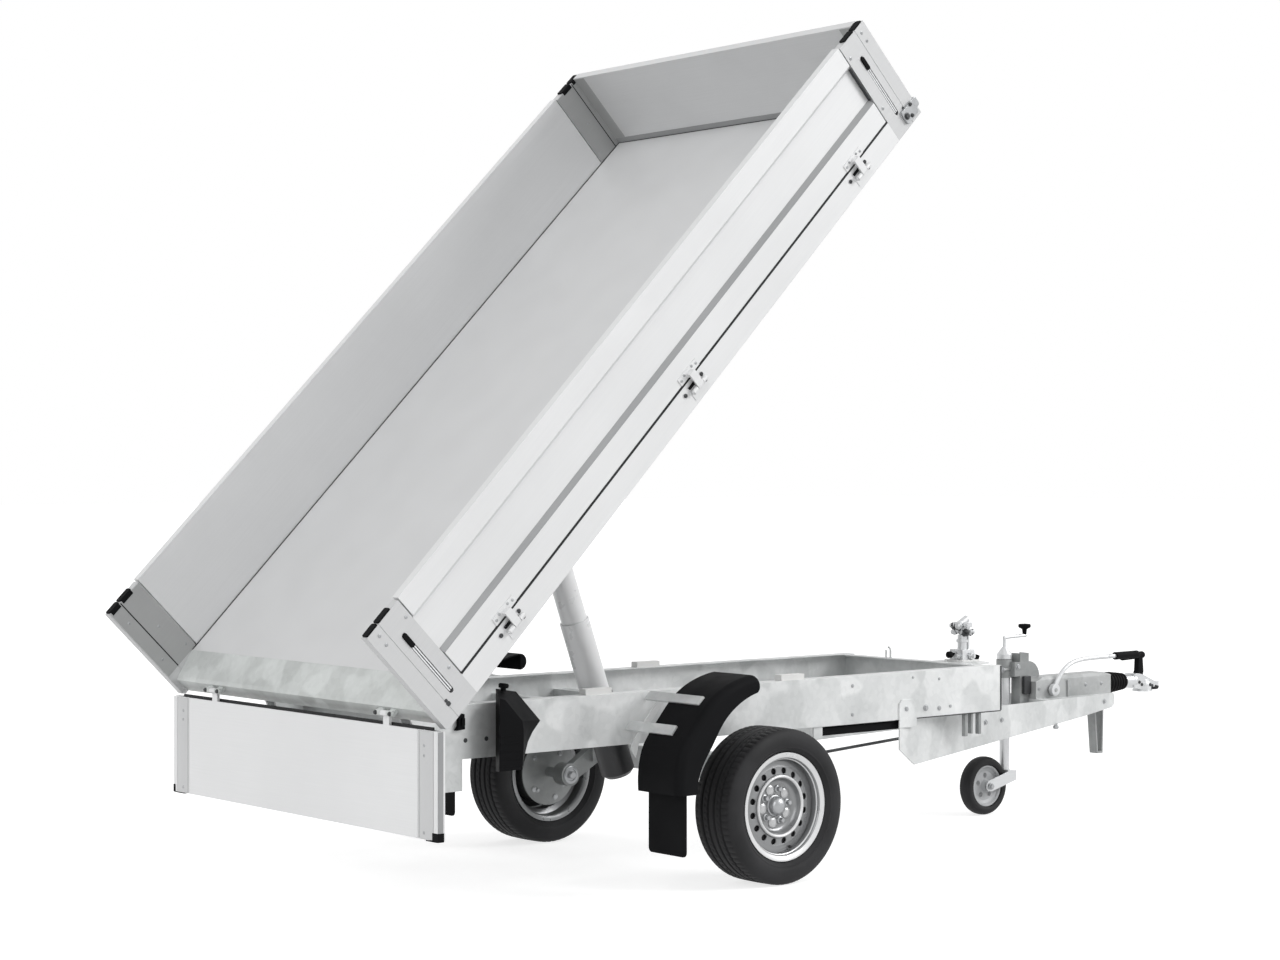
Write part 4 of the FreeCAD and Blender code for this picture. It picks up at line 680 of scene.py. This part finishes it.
def make_inner_plates():
    """The posts' inner faces in a darker tone with a seam in each, and painted shade on the front wall's
    foot and at its ends.
    """
    plates = bmesh.new()
    seams = bmesh.new()
    for place, side, to_u in post_places():
        first = REAR_PLATE_START if place == "rear" else FRONT_PLATE_START
        seam = (POST_PLAIN - POST_SEAM, POST_PLAIN + POST_SEAM)
        for mesh, near, far, out in ((plates, first, seam[0], 0.9), (plates, seam[1], POST_FULL - 1, 0.9),
                                     (seams, *seam, 0.4)):
            start, end = sorted((to_u(near), to_u(far)))
            add_slab(mesh, side, (start, INNER_FOOT), (end, INNER_TOP), INNER_FACE + 0.3, INNER_FACE - out)
    save("post_seams", seams, ON_BED, "black_rubber")
    inside = INNER_FACE - 1
    # Painted shade at the front wall's ends, where it meets the side walls
    for side in (-1, 1):
        add_slab(plates, side, (FRONT_FACE - 0.9, END_PLATE_FOOT), (FRONT_FACE + 0.3, WALL_HIGH - 4),
                 inside, inside - END_PLATE)
    save("inner_plates", plates, ON_BED, "dark_tone_and_shade_aluminium", 0.4)
    # Painted shade along the front wall's foot
    foot = bmesh.new()
    top = END_PLATE_FOOT - 1
    add_block(foot, (FRONT_FACE - 1.6, -inside, FLOOR_SEAL_TOP), (FRONT_FACE + 0.3, inside, top))
    save("front_wall_foot", foot, ON_BED, "painted_shade_aluminium", 0.4)


# The running gear. A profile's distances along the wheels' axis run outward from the wheel's middle.

WHEEL_AT = 636
WHEEL_CENTRE_Z = 262.5
TYRE_RADIUS = 262.5
RIM_RADIUS = 182.5
RIM_SEAT = 165
RIM_STEPS = 128

# Half of the tyre's outer section: its crown's end and step, then distance from the middle and radius
CROWN_HALF = 72
CROWN_STEP = 3
TYRE_SHOULDER = [(74, 260.8), (78, 259.6), (82, 257.6), (86, 254.6), (89.5, 250.4), (92, 246), (94.6, 240)]
TYRE_WALL = [(96.6, 233), (97.7, 226), (98, 219), (97.6, 212), (96.4, 206), (94, 200.5), (94.4, 198.8),
             (92, 197.6), (88, 193), (83, 188.6), (79, 185.4), (76.6, 184)]
TYRE_BEAD = [(76, RIM_RADIUS), (75, 176), (74, 170), (70, 165.5)]

# The tread: grooves round the tyre, narrow cuts across its blocks, and notches in its shoulders
TREAD_STEPS = 288
TREAD_BLOCKS = 72
TREAD_GROOVES = (-46, -16, 16, 46)
GROOVE_HALF = 4.4
GROOVE_DEPTH = 7
# From and to in distance from the middle, share of a block, slant, shift and depth
TREAD_CUTS = ((17, 62, 0.14, 0.012, 0, 2.6), (62, 80, 0.2, 0, 0.4, 3.4))

# The vents: round holes in the sheet between two radii, which lies at a distance out at each
VENTS = 16
VENT_STEPS = 28
VENT_RADIUS = 10.6
VENT_LEAD = 1.2
VENT_DEPTH = 5
VENT_AT = 119.5
VENTED_IN = 107.5
VENTED_OUT = 131.5
VENTED_IN_AT = 51.5
VENTED_OUT_AT = 48

# The rim's profiles: distance out and radius. The lip is the same on the wheel's inner side.
LIP = [(76.5, RIM_RADIUS), (78, RIM_RADIUS), (80, RIM_RADIUS), (80.9, RIM_RADIUS), (81, 180), (80.4, 176.5),
       (79, 173), (78, 168.5), (76, RIM_SEAT), (72, 162), (66, 161)]
WELL_OUTSIDE = [(-76, RIM_SEAT), (-30, RIM_SEAT), (-20, 146), (20, 146), (34, RIM_SEAT), (76, RIM_SEAT),
                (76, RIM_RADIUS)]
WELL_INSIDE = [(36, 161), (22, 142), (-22, 142), (-32, 161)]
DISC_EDGE = [(40, 161.2), (43.5, 158), (45.5, 150), (45.8, 141), (46.6, 136), (VENTED_OUT_AT, VENTED_OUT),
             (VENTED_OUT_AT - 4, VENTED_OUT), (42, 140), (36, 161.2), (40, 161.2)]
BOWL = [(VENTED_IN_AT, VENTED_IN), (54, 106), (59, 104.4), (61, 102), (61.2, 99.5), (59.5, 96.6),
        (54, 94.4), (44, 91), (36, 87), (32, 82), (30.4, 76), (30, 70), (30, 37), (26, 37), (26, 78),
        (40, 95), (47, 103), (VENTED_IN_AT - 4, VENTED_IN), (VENTED_IN_AT, VENTED_IN)]
# Painted highlights: thin bright skins on the rim's rolled lip, on the step at the disc's edge and on the
# crest of the bowl
HIGHLIGHT_SKIN = 0.25
HIGHLIGHT_LIP = ([(79, 182.4)] + [(w + HIGHLIGHT_SKIN, r - HIGHLIGHT_SKIN) for w, r in LIP[2:9]]
              + [(75.5, 165.5), (78, 175)])
HIGHLIGHT_STEP = [(61.5, 161.2), (63, 158.4), (66, 158.4), (67.5, 161.2)]
HIGHLIGHT_BOWL = [(56, 105.6), (59.4, 104.8), (61.5, 102.2), (61.7, 99.4), (59.6, 96.2), (56, 94.8)]

# What is fitted to the wheel. A ring of them: radius from the axis, number and first angle
DISC_FACE = 30
WHEEL_BOLTS = (56, 5, 12)
WHEEL_BOLT_SEAT = [(-1, 13), (2.5, 13), (4, 11), (4, 0)]
WHEEL_BOLT_HEAD = [(3.5, 9), (14, 9), (16.5, 7.4), (16.5, 0)]
LOBES = (58, 5, 48)
LOBE = [(-0.5, 19), (3, 18), (5.5, 14), (6.6, 7), (7, 0)]
# A dark ring behind the vents, which paints the shade seen through them: distance out and radius
VENT_SHADE = [(36, 100), (39, 101), (40.5, 120), (38.5, 139), (35, 140), (33, 120), (36, 100)]
HUB_CAP = [(26, 31.6), (44, 31.2), (50, 30.2), (57, 25), (61, 18), (64, 9), (65, 0)]
HUB_COLLAR = [(27, 36), (31, 36), (33, 33), (33, 31)]
VALVE_RADIUS = 150
VALVE_ANGLE = 160
VALVE_FOOT = 22
VALVE = [(0, 4.5), (16, 4), (18, 5), (30, 5), (32, 3.5), (32, 0)]

# What shows on the wheel's inner side, each at a distance from the trailer's middle
HUB_PIN_AT = 440
HUB_PIN = [(-1, 33), (3, 33), (5, 30), (5, 22), (2, 21), (2, 0)]
HUB_NUT = [(1, 15), (14, 15), (17, 12.5), (17, 0)]
BACKPLATE_AT = 572
BACKPLATE_BOLTS = (84, 4, 40)
# The backplate's plugs: x, and z from the wheel's centre
BACKPLATE_PLUGS = ((-70, -60), (30, -96))
PLUG = [(-1, 11), (2, 11), (3, 9), (3, 0)]


def wheel_spot(radius, angle, y):
    """A point round the wheels' axis, at an angle in radians from the top."""
    return radius * sin(angle), y, WHEEL_CENTRE_Z + radius * cos(angle)


def wheel_spots(ring, y):
    """The points of a ring given by its radius, their number and the first one's angle in degrees."""
    radius, count, first = ring
    for i in range(count):
        yield wheel_spot(radius, radians(360 / count * i + first), y)


def tyre_section():
    """Half of the tyre's outer section, from the crown to the bead."""
    crown = [(w, TYRE_RADIUS - 0.9 * (w / 60.0) ** 2) for w in range(0, CROWN_HALF, CROWN_STEP)]
    return crown + TYRE_SHOULDER + TYRE_WALL + TYRE_BEAD


def tread_drop(w, turn):
    """How deep the tread is cut at a distance from its middle and a share of a turn."""
    if any(abs(w - groove) < GROOVE_HALF for groove in TREAD_GROOVES):
        return GROOVE_DEPTH
    for near, far, share, slant, shift, depth in TREAD_CUTS:
        if near < abs(w) < far and (turn * TREAD_BLOCKS + w * slant + shift) % 1.0 < share:
            return depth
    return 0.0


def make_tyre(side_name, side):
    wheel = (GROUND, "wheel_" + side_name)
    half = tyre_section()
    section = [(-w, r) for w, r in half[:0:-1]] + half
    bm = bmesh.new()
    rings = []
    for i in range(TREAD_STEPS):
        turn = i / TREAD_STEPS
        ring = []
        for w, r in section:
            reach = r - tread_drop(w, turn)
            ring.append(bm.verts.new(wheel_spot(reach, tau * turn, side * WHEEL_AT + w)))
        rings.append(ring)
    for i, ring in enumerate(rings):
        after = rings[(i + 1) % TREAD_STEPS]
        for a in range(len(section) - 1):
            bm.faces.new((ring[a], ring[a + 1], after[a + 1], after[a]))
        bm.faces.new((ring[-1], ring[0], after[0], after[-1]))
    tyre = save("tyre_tread_" + side_name, bm, wheel, "tyre")
    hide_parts("tyre_" + side_name)


def cone_at(radius):
    """How far out the vented part of the disc lies at a radius."""
    share = (radius - VENTED_IN) / (VENTED_OUT - VENTED_IN)
    return VENTED_IN_AT + share * (VENTED_OUT_AT - VENTED_IN_AT)


def add_vent_sector(bm, side, turn):
    """A sector of the vented ring: the sheet from its round vent to its edges, and the vent's wall."""
    middle = (VENTED_IN + VENTED_OUT) / 2
    half_r = (VENTED_OUT - VENTED_IN) / 2
    half_t = VENT_AT * pi / VENTS
    corner = atan2(half_t, half_r)
    corners = {round(a % tau, 6) for a in (corner, -corner, pi - corner, pi + corner)}
    even = {round(tau * k / VENT_STEPS, 6) for k in range(VENT_STEPS)}

    def spot(dr, dt, depth=0.0):
        radius = middle + dr
        y = side * (WHEEL_AT + cone_at(radius) - depth)
        return bm.verts.new(wheel_spot(radius, turn + dt / VENT_AT, y))

    spokes = []
    for angle in sorted(even | corners):
        dr = cos(angle)
        dt = sin(angle)
        far = min(half_r / max(abs(dr), 1e-9), half_t / max(abs(dt), 1e-9))
        lead = VENT_RADIUS + VENT_LEAD
        spokes.append((spot(dr * far, dt * far), spot(dr * lead, dt * lead),
                       spot(dr * VENT_RADIUS, dt * VENT_RADIUS, VENT_LEAD),
                       spot(dr * VENT_RADIUS, dt * VENT_RADIUS, VENT_DEPTH)))
    for a, b in zip(spokes, spokes[1:] + spokes[:1]):
        for level in range(3):
            bm.faces.new((a[level], b[level], b[level + 1], a[level + 1]))


def make_rim(side_name, side):
    """The rim with its vented disc and the deep bowl round the hub, and painted highlights along its edges.
    """
    wheel = (GROUND, "wheel_" + side_name)
    origin = (0, side * WHEEL_AT, WHEEL_CENTRE_Z)
    out = (0, side, 0)
    bm = bmesh.new()
    inner_lip = [(-w, r) for w, r in LIP[::-1]]
    barrel = WELL_OUTSIDE + LIP + WELL_INSIDE + inner_lip + [(-76, RIM_RADIUS), (-76, RIM_SEAT)]
    for profile in (barrel, DISC_EDGE, BOWL):
        add_lathe(bm, profile, origin, out, RIM_STEPS)
    for i in range(VENTS):
        add_vent_sector(bm, side, tau * (i + 0.5) / VENTS)
    rim = save("wheel_rim_" + side_name, bm, wheel, "wheel_paint")
    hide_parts("rim_" + side_name)
    edges = bmesh.new()
    for profile in (HIGHLIGHT_LIP, HIGHLIGHT_STEP, HIGHLIGHT_BOWL):
        add_lathe(edges, profile, origin, out, RIM_STEPS)
    save("rim_highlights_" + side_name, edges, wheel, "painted_highlight")


def make_wheel_trim(side_name, side):
    wheel = (GROUND, "wheel_" + side_name)
    origin = (0, side * WHEEL_AT, WHEEL_CENTRE_Z)
    disc = side * (WHEEL_AT + DISC_FACE)
    out = (0, side, 0)
    bolts = bmesh.new()
    for spot in wheel_spots(WHEEL_BOLTS, disc):
        add_lathe(bolts, WHEEL_BOLT_SEAT, spot, out, 20)
        add_lathe(bolts, WHEEL_BOLT_HEAD, spot, out, 6)
    save("wheel_bolts_" + side_name, bolts, wheel, "steel")
    # Painted shade behind the vents
    save_turned("vent_shade_" + side_name, VENT_SHADE, origin, out, 64, wheel, "black_rubber")
    cap = bmesh.new()
    add_lathe(cap, HUB_CAP, origin, out, 32)
    add_lathe(cap, HUB_COLLAR, origin, out, 32)
    save("hub_cap_" + side_name, cap, wheel, "steel")
    lobes = bmesh.new()
    for spot in wheel_spots(LOBES, disc):
        add_lathe(lobes, LOBE, spot, out, 24)
    save("wheel_lobes_" + side_name, lobes, wheel, "mid_paint")
    foot = wheel_spot(VALVE_RADIUS, radians(VALVE_ANGLE), side * (WHEEL_AT + VALVE_FOOT))
    save_turned("tyre_valve_" + side_name, VALVE, foot, out, 14, wheel, "black_rubber")


def make_hub_trim(side_name, side):
    """The swing arm's pin with its ring, and the backplate's bolts."""
    inward = (0, -side, 0)
    pin = bmesh.new()
    place = (0, side * HUB_PIN_AT, WHEEL_CENTRE_Z)
    add_lathe(pin, HUB_PIN, place, inward, 32)
    add_lathe(pin, HUB_NUT, place, inward, 6)
    save("hub_pin_" + side_name, pin, CHASSIS, "steel")
    bolts = bmesh.new()
    for spot in wheel_spots(BACKPLATE_BOLTS, side * BACKPLATE_AT):
        add_bolt(bolts, spot, inward, 7, 7)
    for x, dz in BACKPLATE_PLUGS:
        add_lathe(bolts, PLUG, (x, side * BACKPLATE_AT, WHEEL_CENTRE_Z + dz), inward, 20)
    save("backplate_bolts_" + side_name, bolts, CHASSIS, "steel")


# The jockey wheel

JOCKEY_X = 1933
JOCKEY_Y = 43
CRANK_REACH = 122
CRANK_TOP = 716
CRANK_KNOB = [(0, 0), (0, 8), (20, 10), (24, 15), (27, 23), (31, 25.5), (38, 25.5), (42, 23), (44, 0)]
JOCKEY_TRAIL = 128
JOCKEY_AXLE_HALF = 45
JOCKEY_AXLE_Z = 117
# The clamp's bolts: x and y from the tube's axis, z, the way they face, and size
CLAMP_BOLTS = ((-46, -30, 580, (-1, 0, 0), 10), (20, -56, 590, (0, -1, 0), 9))


def make_jockey_trim():
    top = (JOCKEY_X + CRANK_REACH, JOCKEY_Y, CRANK_TOP)
    save_turned("crank_knob", CRANK_KNOB, top, (0, 0, 1), 28, CHASSIS, "black_plastic")
    nuts = bmesh.new()
    for side in (-1, 1):
        place = (JOCKEY_X - JOCKEY_TRAIL, JOCKEY_Y + side * JOCKEY_AXLE_HALF, JOCKEY_AXLE_Z)
        add_bolt(nuts, place, (0, side, 0), 10, 9)
    save("jockey_axle_nuts", nuts, (GROUND, "jockey_fork"), "steel")
    bolts = bmesh.new()
    for dx, dy, z, way, size in CLAMP_BOLTS:
        add_bolt(bolts, (JOCKEY_X + dx, JOCKEY_Y + dy, z), way, size, size - 2)
    save("clamp_bolts", bolts, CHASSIS, "steel")


# The chassis

BEAM_FACE = 420
TAB_TOP = 478.3

# The drawbar's plates lap the beams' outer faces below a height, and then run inwards to the front
DRAWBAR_FACE = 425
DRAWBAR_START = 845
DRAWBAR_LAP_END = 930
DRAWBAR_LAP_TOP = 545
DRAWBAR_SLOPE = 357 / 1644
# Bolts on each beam: x, z and size; and on each drawbar plate: x and z
BEAM_BOLTS = ((881, 516, 7), (987, 513, 9), (1059, 508, 7), (1119, 512, 5), (1059, 616, 4), (920, 629, 4),
              (609, 615, 5), (609, 511, 5))
DRAWBAR_BOLTS = ((1450, 420), (1570, 420), (2400, 430))
BEAM_HOLES = (-1104, -1022)
BEAM_HOLE_Z = 537
# Each hole is a dark disc, which paints the shade inside it: distance out and radius
BEAM_HOLE = [(-0.5, 7.5), (0.6, 7.5), (0.6, 5.5), (0.1, 5.2), (0.1, 0)]

# The clip on the right beam's rear end: x and z
CLIP = [(-1158, 622), (-1134, 626), (-1118, 622), (-1116, 574), (-1150, 571), (-1140, 584), (-1140, 608),
        (-1158, 608)]
CLIP_THICK = 16
CLIP_TONGUE = ((-1132, 584), (-1120, 612), 4, BEAM_FACE + 15, BEAM_FACE + 22)
DRAWBAR_KNOB_AT = (2000, -172, 371)
DRAWBAR_KNOB = [(0, 7), (8, 7), (10, 11), (18, 12), (22, 9), (23, 0)]

# The dark strip of painted shade under each beam and its tab: places in x and z, and how far in from the
# beam's face
BEAM_SHADE_ENDS = (472, 878)
BEAM_SHADE_LEVELS = (442, 472)
BEAM_SHADE_IN = (16, 40)
BEAM_SHADE_TAB = ((422, 434), (466, TAB_TOP + 0.1))
BEAM_SHADE_TAB_IN = (6, 12)

# The tabs under each beam: their ends and their foot
BEAM_TABS = ((1207, 1221, 392), (1240, 1250, 400), (1281, 1295, 396))

# The seam at each beam's front end, and the dark line of painted shadow where the drawbar's plates pass
# under the beam: low and high corner in x and z, and corner radius
JOINTS_AND_SHADE_LINES = (((1393, 480), (1400.5, 648), 2), ((905, 475.8), (1396, 479.8), 1.5))
CLAMP_BLOCK = ((1978, 478), (2018, 552), 6)
CLAMP_BLOCK_ENDS = (-26, 22)

# The wheel chock's ribs, and the knob of its holder
CHOCK_RIBS = 5
CHOCK_ENDS = (-1029, -944)
CHOCK_FACE = (501.5, 503.2)
RIB_LOW = 450
RIB_PITCH = 24
RIB_HEIGHT = 5
CHOCK_KNOB_AT = (-975, -446, 686)
CHOCK_KNOB = [(0, 9), (10, 9), (12, 16), (22, 17), (26, 13), (27, 0)]


def make_beam_bolts():
    bolts = bmesh.new()
    for side in (-1, 1):
        for x, z, size in BEAM_BOLTS:
            lapped = DRAWBAR_START <= x <= DRAWBAR_LAP_END and z < DRAWBAR_LAP_TOP
            face = DRAWBAR_FACE if lapped else BEAM_FACE
            add_bolt(bolts, (x, side * face, z), (0, side, 0), size, size * 0.8)
        for x, z in DRAWBAR_BOLTS:
            y = DRAWBAR_FACE - DRAWBAR_SLOPE * (x - DRAWBAR_START)
            add_bolt(bolts, (x, side * y, z), (0.21, side, 0), 8, 7)
    save("beam_bolts", bolts, CHASSIS, "steel")
    # Dark discs that paint the shade inside the beams' holes
    holes = bmesh.new()
    for side in (-1, 1):
        for x in BEAM_HOLES:
            add_lathe(holes, BEAM_HOLE, (x, side * BEAM_FACE, BEAM_HOLE_Z), (0, side, 0), 20)
    save("beam_hole_shades", holes, CHASSIS, "dark_steel")


def make_beam_clip():
    clip = bmesh.new()
    add_prism(clip, CLIP, 1, -BEAM_FACE - CLIP_THICK, -BEAM_FACE)
    add_plate(clip, -1, *CLIP_TONGUE)
    save("beam_clip", clip, CHASSIS, "black_plastic", 1.5)
    save_turned("drawbar_knob", DRAWBAR_KNOB, DRAWBAR_KNOB_AT, (0, 0, -1), 18, CHASSIS, "steel")


def make_beam_shade_strips():
    """A dark strip of painted shade under each beam, with the bright tab at its rear end."""
    shade_strips = bmesh.new()
    tabs = bmesh.new()
    for side in (-1, 1):
        corners = zip(span(side, *(BEAM_FACE - d for d in BEAM_SHADE_IN)), BEAM_SHADE_LEVELS)
        add_prism(shade_strips, rounded(*corners, 6), 0, *BEAM_SHADE_ENDS)
        add_slab(tabs, side, *BEAM_SHADE_TAB, *(BEAM_FACE - d for d in BEAM_SHADE_TAB_IN))
    save("beam_shade_strips", shade_strips, CHASSIS, "black_plastic")
    save("shade_strip_tabs", tabs, CHASSIS, "galvanised", 1.0)


def make_beam_tabs():
    bm = bmesh.new()
    for start, end, foot in BEAM_TABS:
        for side in (-1, 1):
            add_slab(bm, side, (start, foot), (end, TAB_TOP), BEAM_FACE - 24, BEAM_FACE - 6)
    save("beam_tabs", bm, CHASSIS, "dim_zinc", 1.5)


def make_frame_joints_and_shade_lines():
    """The dark seams at the front ends of the beams, and a dark line of painted shadow where the drawbar's
    plates pass under them.
    """
    seams = bmesh.new()
    for side in (-1, 1):
        for low, high, corner in JOINTS_AND_SHADE_LINES:
            add_plate(seams, side, low, high, corner, BEAM_FACE - 0.8, BEAM_FACE + 1)
    save("frame_joints_and_shade_lines", seams, CHASSIS, "dark_steel")
    block = bmesh.new()
    add_prism(block, rounded(*CLAMP_BLOCK), 1, *CLAMP_BLOCK_ENDS)
    save("clamp_block", block, CHASSIS, "dark_steel", 2.0)


def make_chock_trim():
    save_turned("chock_knob", CHOCK_KNOB, CHOCK_KNOB_AT, (0.1, 0, 1), 20, CHASSIS, "black_plastic")
    ribs = bmesh.new()
    for i in range(CHOCK_RIBS):
        z = RIB_LOW + i * RIB_PITCH
        add_slab(ribs, -1, (CHOCK_ENDS[0], z), (CHOCK_ENDS[1], z + RIB_HEIGHT), *CHOCK_FACE)
    save("chock_ribs", ribs, CHASSIS, "black_plastic", 0.8)


# The hand pump. Places are from the middle of its base.

PUMP_AT = (1474, -150, 646)
PUMP_PLATE_HALF = (52, 50)
PUMP_FITTINGS = 17
PUMP_TURNS = 2.4
PUMP_HEAD = 104
SIDE_KNOB = [(0, 6), (14, 6), (16, 11), (20, 13), (34, 13), (38, 10), (39, 0)]
BASE_PLUG = [(0, 16), (26, 16), (28, 14), (28, 0)]
HEAD_FITTING = [(-8, 9), (12, 9), (12, 14), (25, 14), (25, 9), (33, 9), (35, 6), (35, 0)]
BASE_FITTING = [(-4, 11), (14, 11), (14, 15), (24, 15), (24, 9), (34, 9), (34, 0)]
BASE_FITTING_WAYS = ((0.3, -1, 0), (-1, -0.3, 0), (1, 0.2, 0))


def make_pump_base():
    x, y, z = PUMP_AT
    knobs = bmesh.new()
    add_lathe(knobs, SIDE_KNOB, (x - 44, y, z + 28), (-1, 0, 0), 20)
    add_lathe(knobs, BASE_PLUG, (x + 46, y - 20, z - 2), (0.2, -0.2, 1), 20)
    save("pump_knobs", knobs, CHASSIS, "black_plastic")
    plate = bmesh.new()
    long, wide = PUMP_PLATE_HALF
    add_prism(plate, rounded((x - long, y - wide), (x + long, y + wide), 10), 2, z - 0.2, z + 7)
    save("pump_plate", plate, CHASSIS, "white_plastic", 1.0)


def make_pump_fittings():
    """The fittings at the pump's head, a third of them dark, and those at its base."""
    x, y, z = PUMP_AT
    bright = bmesh.new()
    dark = bmesh.new()
    for i in range(PUMP_FITTINGS):
        turn = tau * i / PUMP_FITTINGS * PUMP_TURNS
        way = (cos(turn), sin(turn), 0.5 - 0.4 * (i % 3))
        origin = (x + 15 * way[0], y + 15 * way[1], z + PUMP_HEAD + 8 * (i % 6))
        add_lathe(dark if i % 3 == 0 else bright, HEAD_FITTING, origin, way, 8)
    for way in BASE_FITTING_WAYS:
        add_lathe(bright, BASE_FITTING, (x + 20 * way[0], y + 20 * way[1], z + 22), way, 8)
    save("pump_fittings", bright, CHASSIS, "pump_metal", 0.6)
    save("pump_dark_fittings", dark, CHASSIS, "dark_steel", 0.6)


# The coupling. Rivets: x, distance from the middle and z

RIVETS = ((2706, 25, 489), (2722, 25, 478), (2762, 37.6, 476), (2790, 25, 470))
RIVET = [(-1, 7), (2, 7), (4.5, 4.5), (5, 0)]
NOSE_AT = (2820, 0, 452)
NOSE = [(0, 0), (0, 20), (3, 27.4), (12, 29.2), (20, 27.6), (24, 20), (26, 0)]
HOUSING_SCREWS = (2040, 2230, 2330, 2430)
HOUSING_FACE = 48
HOUSING_SCREW_Z = 500


def make_coupling_trim():
    rivets = bmesh.new()
    for x, y, z in RIVETS:
        for side in (-1, 1):
            add_lathe(rivets, RIVET, (x, side * y, z), (0, side, 0), 16)
    save("coupling_rivets", rivets, CHASSIS, "dark_steel")
    save_turned("coupling_nose", NOSE, NOSE_AT, (0, 0, 1), 28, CHASSIS, "black_rubber")
    screws = bmesh.new()
    for x in HOUSING_SCREWS:
        for side in (-1, 1):
            add_screw(screws, (x, side * HOUSING_FACE, HOUSING_SCREW_Z), (0, side, 0), 6, 4)
    save("housing_screws", screws, CHASSIS, "steel")


for side_name, side in SIDES:
    for make in (make_tyre, make_rim, make_wheel_trim, make_hub_trim):
        make(side_name, side)
for make in (make_post_caps, make_latches, make_post_screws, make_front_locks):
    make()
for make in (make_recess_shade_strips, make_wall_hinge_trim):
    for side_name, side in SIDES:
        make(side_name, side)
for make in (make_gate_screws, make_gate_ends, make_gate_shadow_strip, make_gate_caps, make_gate_hinge_bolts,
             make_seals, make_inner_plates, make_jockey_trim, make_beam_bolts, make_beam_clip, make_beam_shade_strips,
             make_beam_tabs, make_frame_joints_and_shade_lines, make_chock_trim, make_pump_base, make_pump_fittings,
             make_coupling_trim):
    make()


# The room


def make_room():
    """A pale floor. Seen directly it is white but for the object's faint shadow."""
    bpy.ops.mesh.primitive_plane_add(size=FLOOR_SIZE, location=(0, 0, -BALL[2] / 1000))
    floor = bpy.context.object
    floor.name = "floor"
    s = Surface(FLOOR_ROUGH, 0.0)
    s.material.name = "floor"
    s.coloured(FLOOR_DARK, FLOOR_LIGHT, s.noise(scale=0.6, detail=3))
    glow = s.node("ShaderNodeEmission", {"Strength": FLOOR_GLOW})
    lit = s.node("ShaderNodeBsdfDiffuse", {"Color": FLOOR_SHADE})
    both = s.node("ShaderNodeAddShader")
    s.link(glow.outputs["Emission"], both.inputs[0])
    s.link(lit.outputs["BSDF"], both.inputs[1])
    mix = s.node("ShaderNodeMixShader")
    s.link(s.seen_directly(), mix.inputs["Fac"])
    s.link(s.shader.outputs["BSDF"], mix.inputs[1])
    s.link(both.outputs["Shader"], mix.inputs[2])
    s.link(mix.outputs["Shader"], s.tree.nodes["Material Output"].inputs["Surface"])
    floor.data.materials.append(s.material)


def make_world():
    """An even sky that is brighter overhead. Seen directly it is white."""
    world = bpy.data.worlds.new("sky")
    scene.world = world
    world.use_nodes = True
    sky = Net(world.node_tree)
    backdrop = sky.tree.nodes["Background"]
    split = sky.node("ShaderNodeSeparateXYZ")
    sky.link(sky.node("ShaderNodeTexCoord").outputs["Generated"], split.inputs["Vector"])
    ramp = sky.node("ShaderNodeValToRGB")
    for element, position, tone in zip(ramp.color_ramp.elements, (0.0, OVERHEAD_AT), (HORIZON_TONE, 1.0)):
        element.position = position
        element.color = (tone, tone, tone, 1)
    sky.link(split.outputs["Z"], ramp.inputs["Fac"])
    sky.link(ramp.outputs["Color"], backdrop.inputs["Color"])
    backdrop.inputs["Strength"].default_value = SKY_STRENGTH
    white = sky.node("ShaderNodeBackground", {"Color": (1, 1, 1, 1)})
    mix = sky.node("ShaderNodeMixShader")
    sky.link(sky.seen_directly(), mix.inputs["Fac"])
    sky.link(backdrop.outputs["Background"], mix.inputs[1])
    sky.link(white.outputs["Background"], mix.inputs[2])
    sky.link(mix.outputs["Shader"], sky.tree.nodes["World Output"].inputs["Surface"])


def make_lamps():
    for name, source, strength, angle in LAMPS:
        data = bpy.data.lights.new(name, "SUN")
        data.energy = strength
        data.angle = radians(angle)
        lamp = bpy.data.objects.new(name, data)
        lamp.rotation_euler = Vector(source).to_track_quat("Z", "Y").to_euler()
        scene.collection.objects.link(lamp)


def make_camera():
    data = bpy.data.cameras.new("camera")
    data.sensor_width = SENSOR
    data.lens = SENSOR * VIEW_FOCUS_PX / VIEW_WIDTH_PX
    data.shift_y = (HORIZON_PX - VIEW_HEIGHT_PX / 2) / VIEW_WIDTH_PX
    data.clip_end = FAR_CLIP
    camera = bpy.data.objects.new("camera", data)
    camera.location = GROUND @ Vector(VIEW_FROM)
    camera.rotation_euler = (radians(90), 0, radians(VIEW_AZIMUTH - 90))
    scene.collection.objects.link(camera)
    scene.camera = camera


make_room()
make_world()
make_lamps()
make_camera()
scene.view_settings.view_transform = "Standard"

bpy.context.view_layer.update()
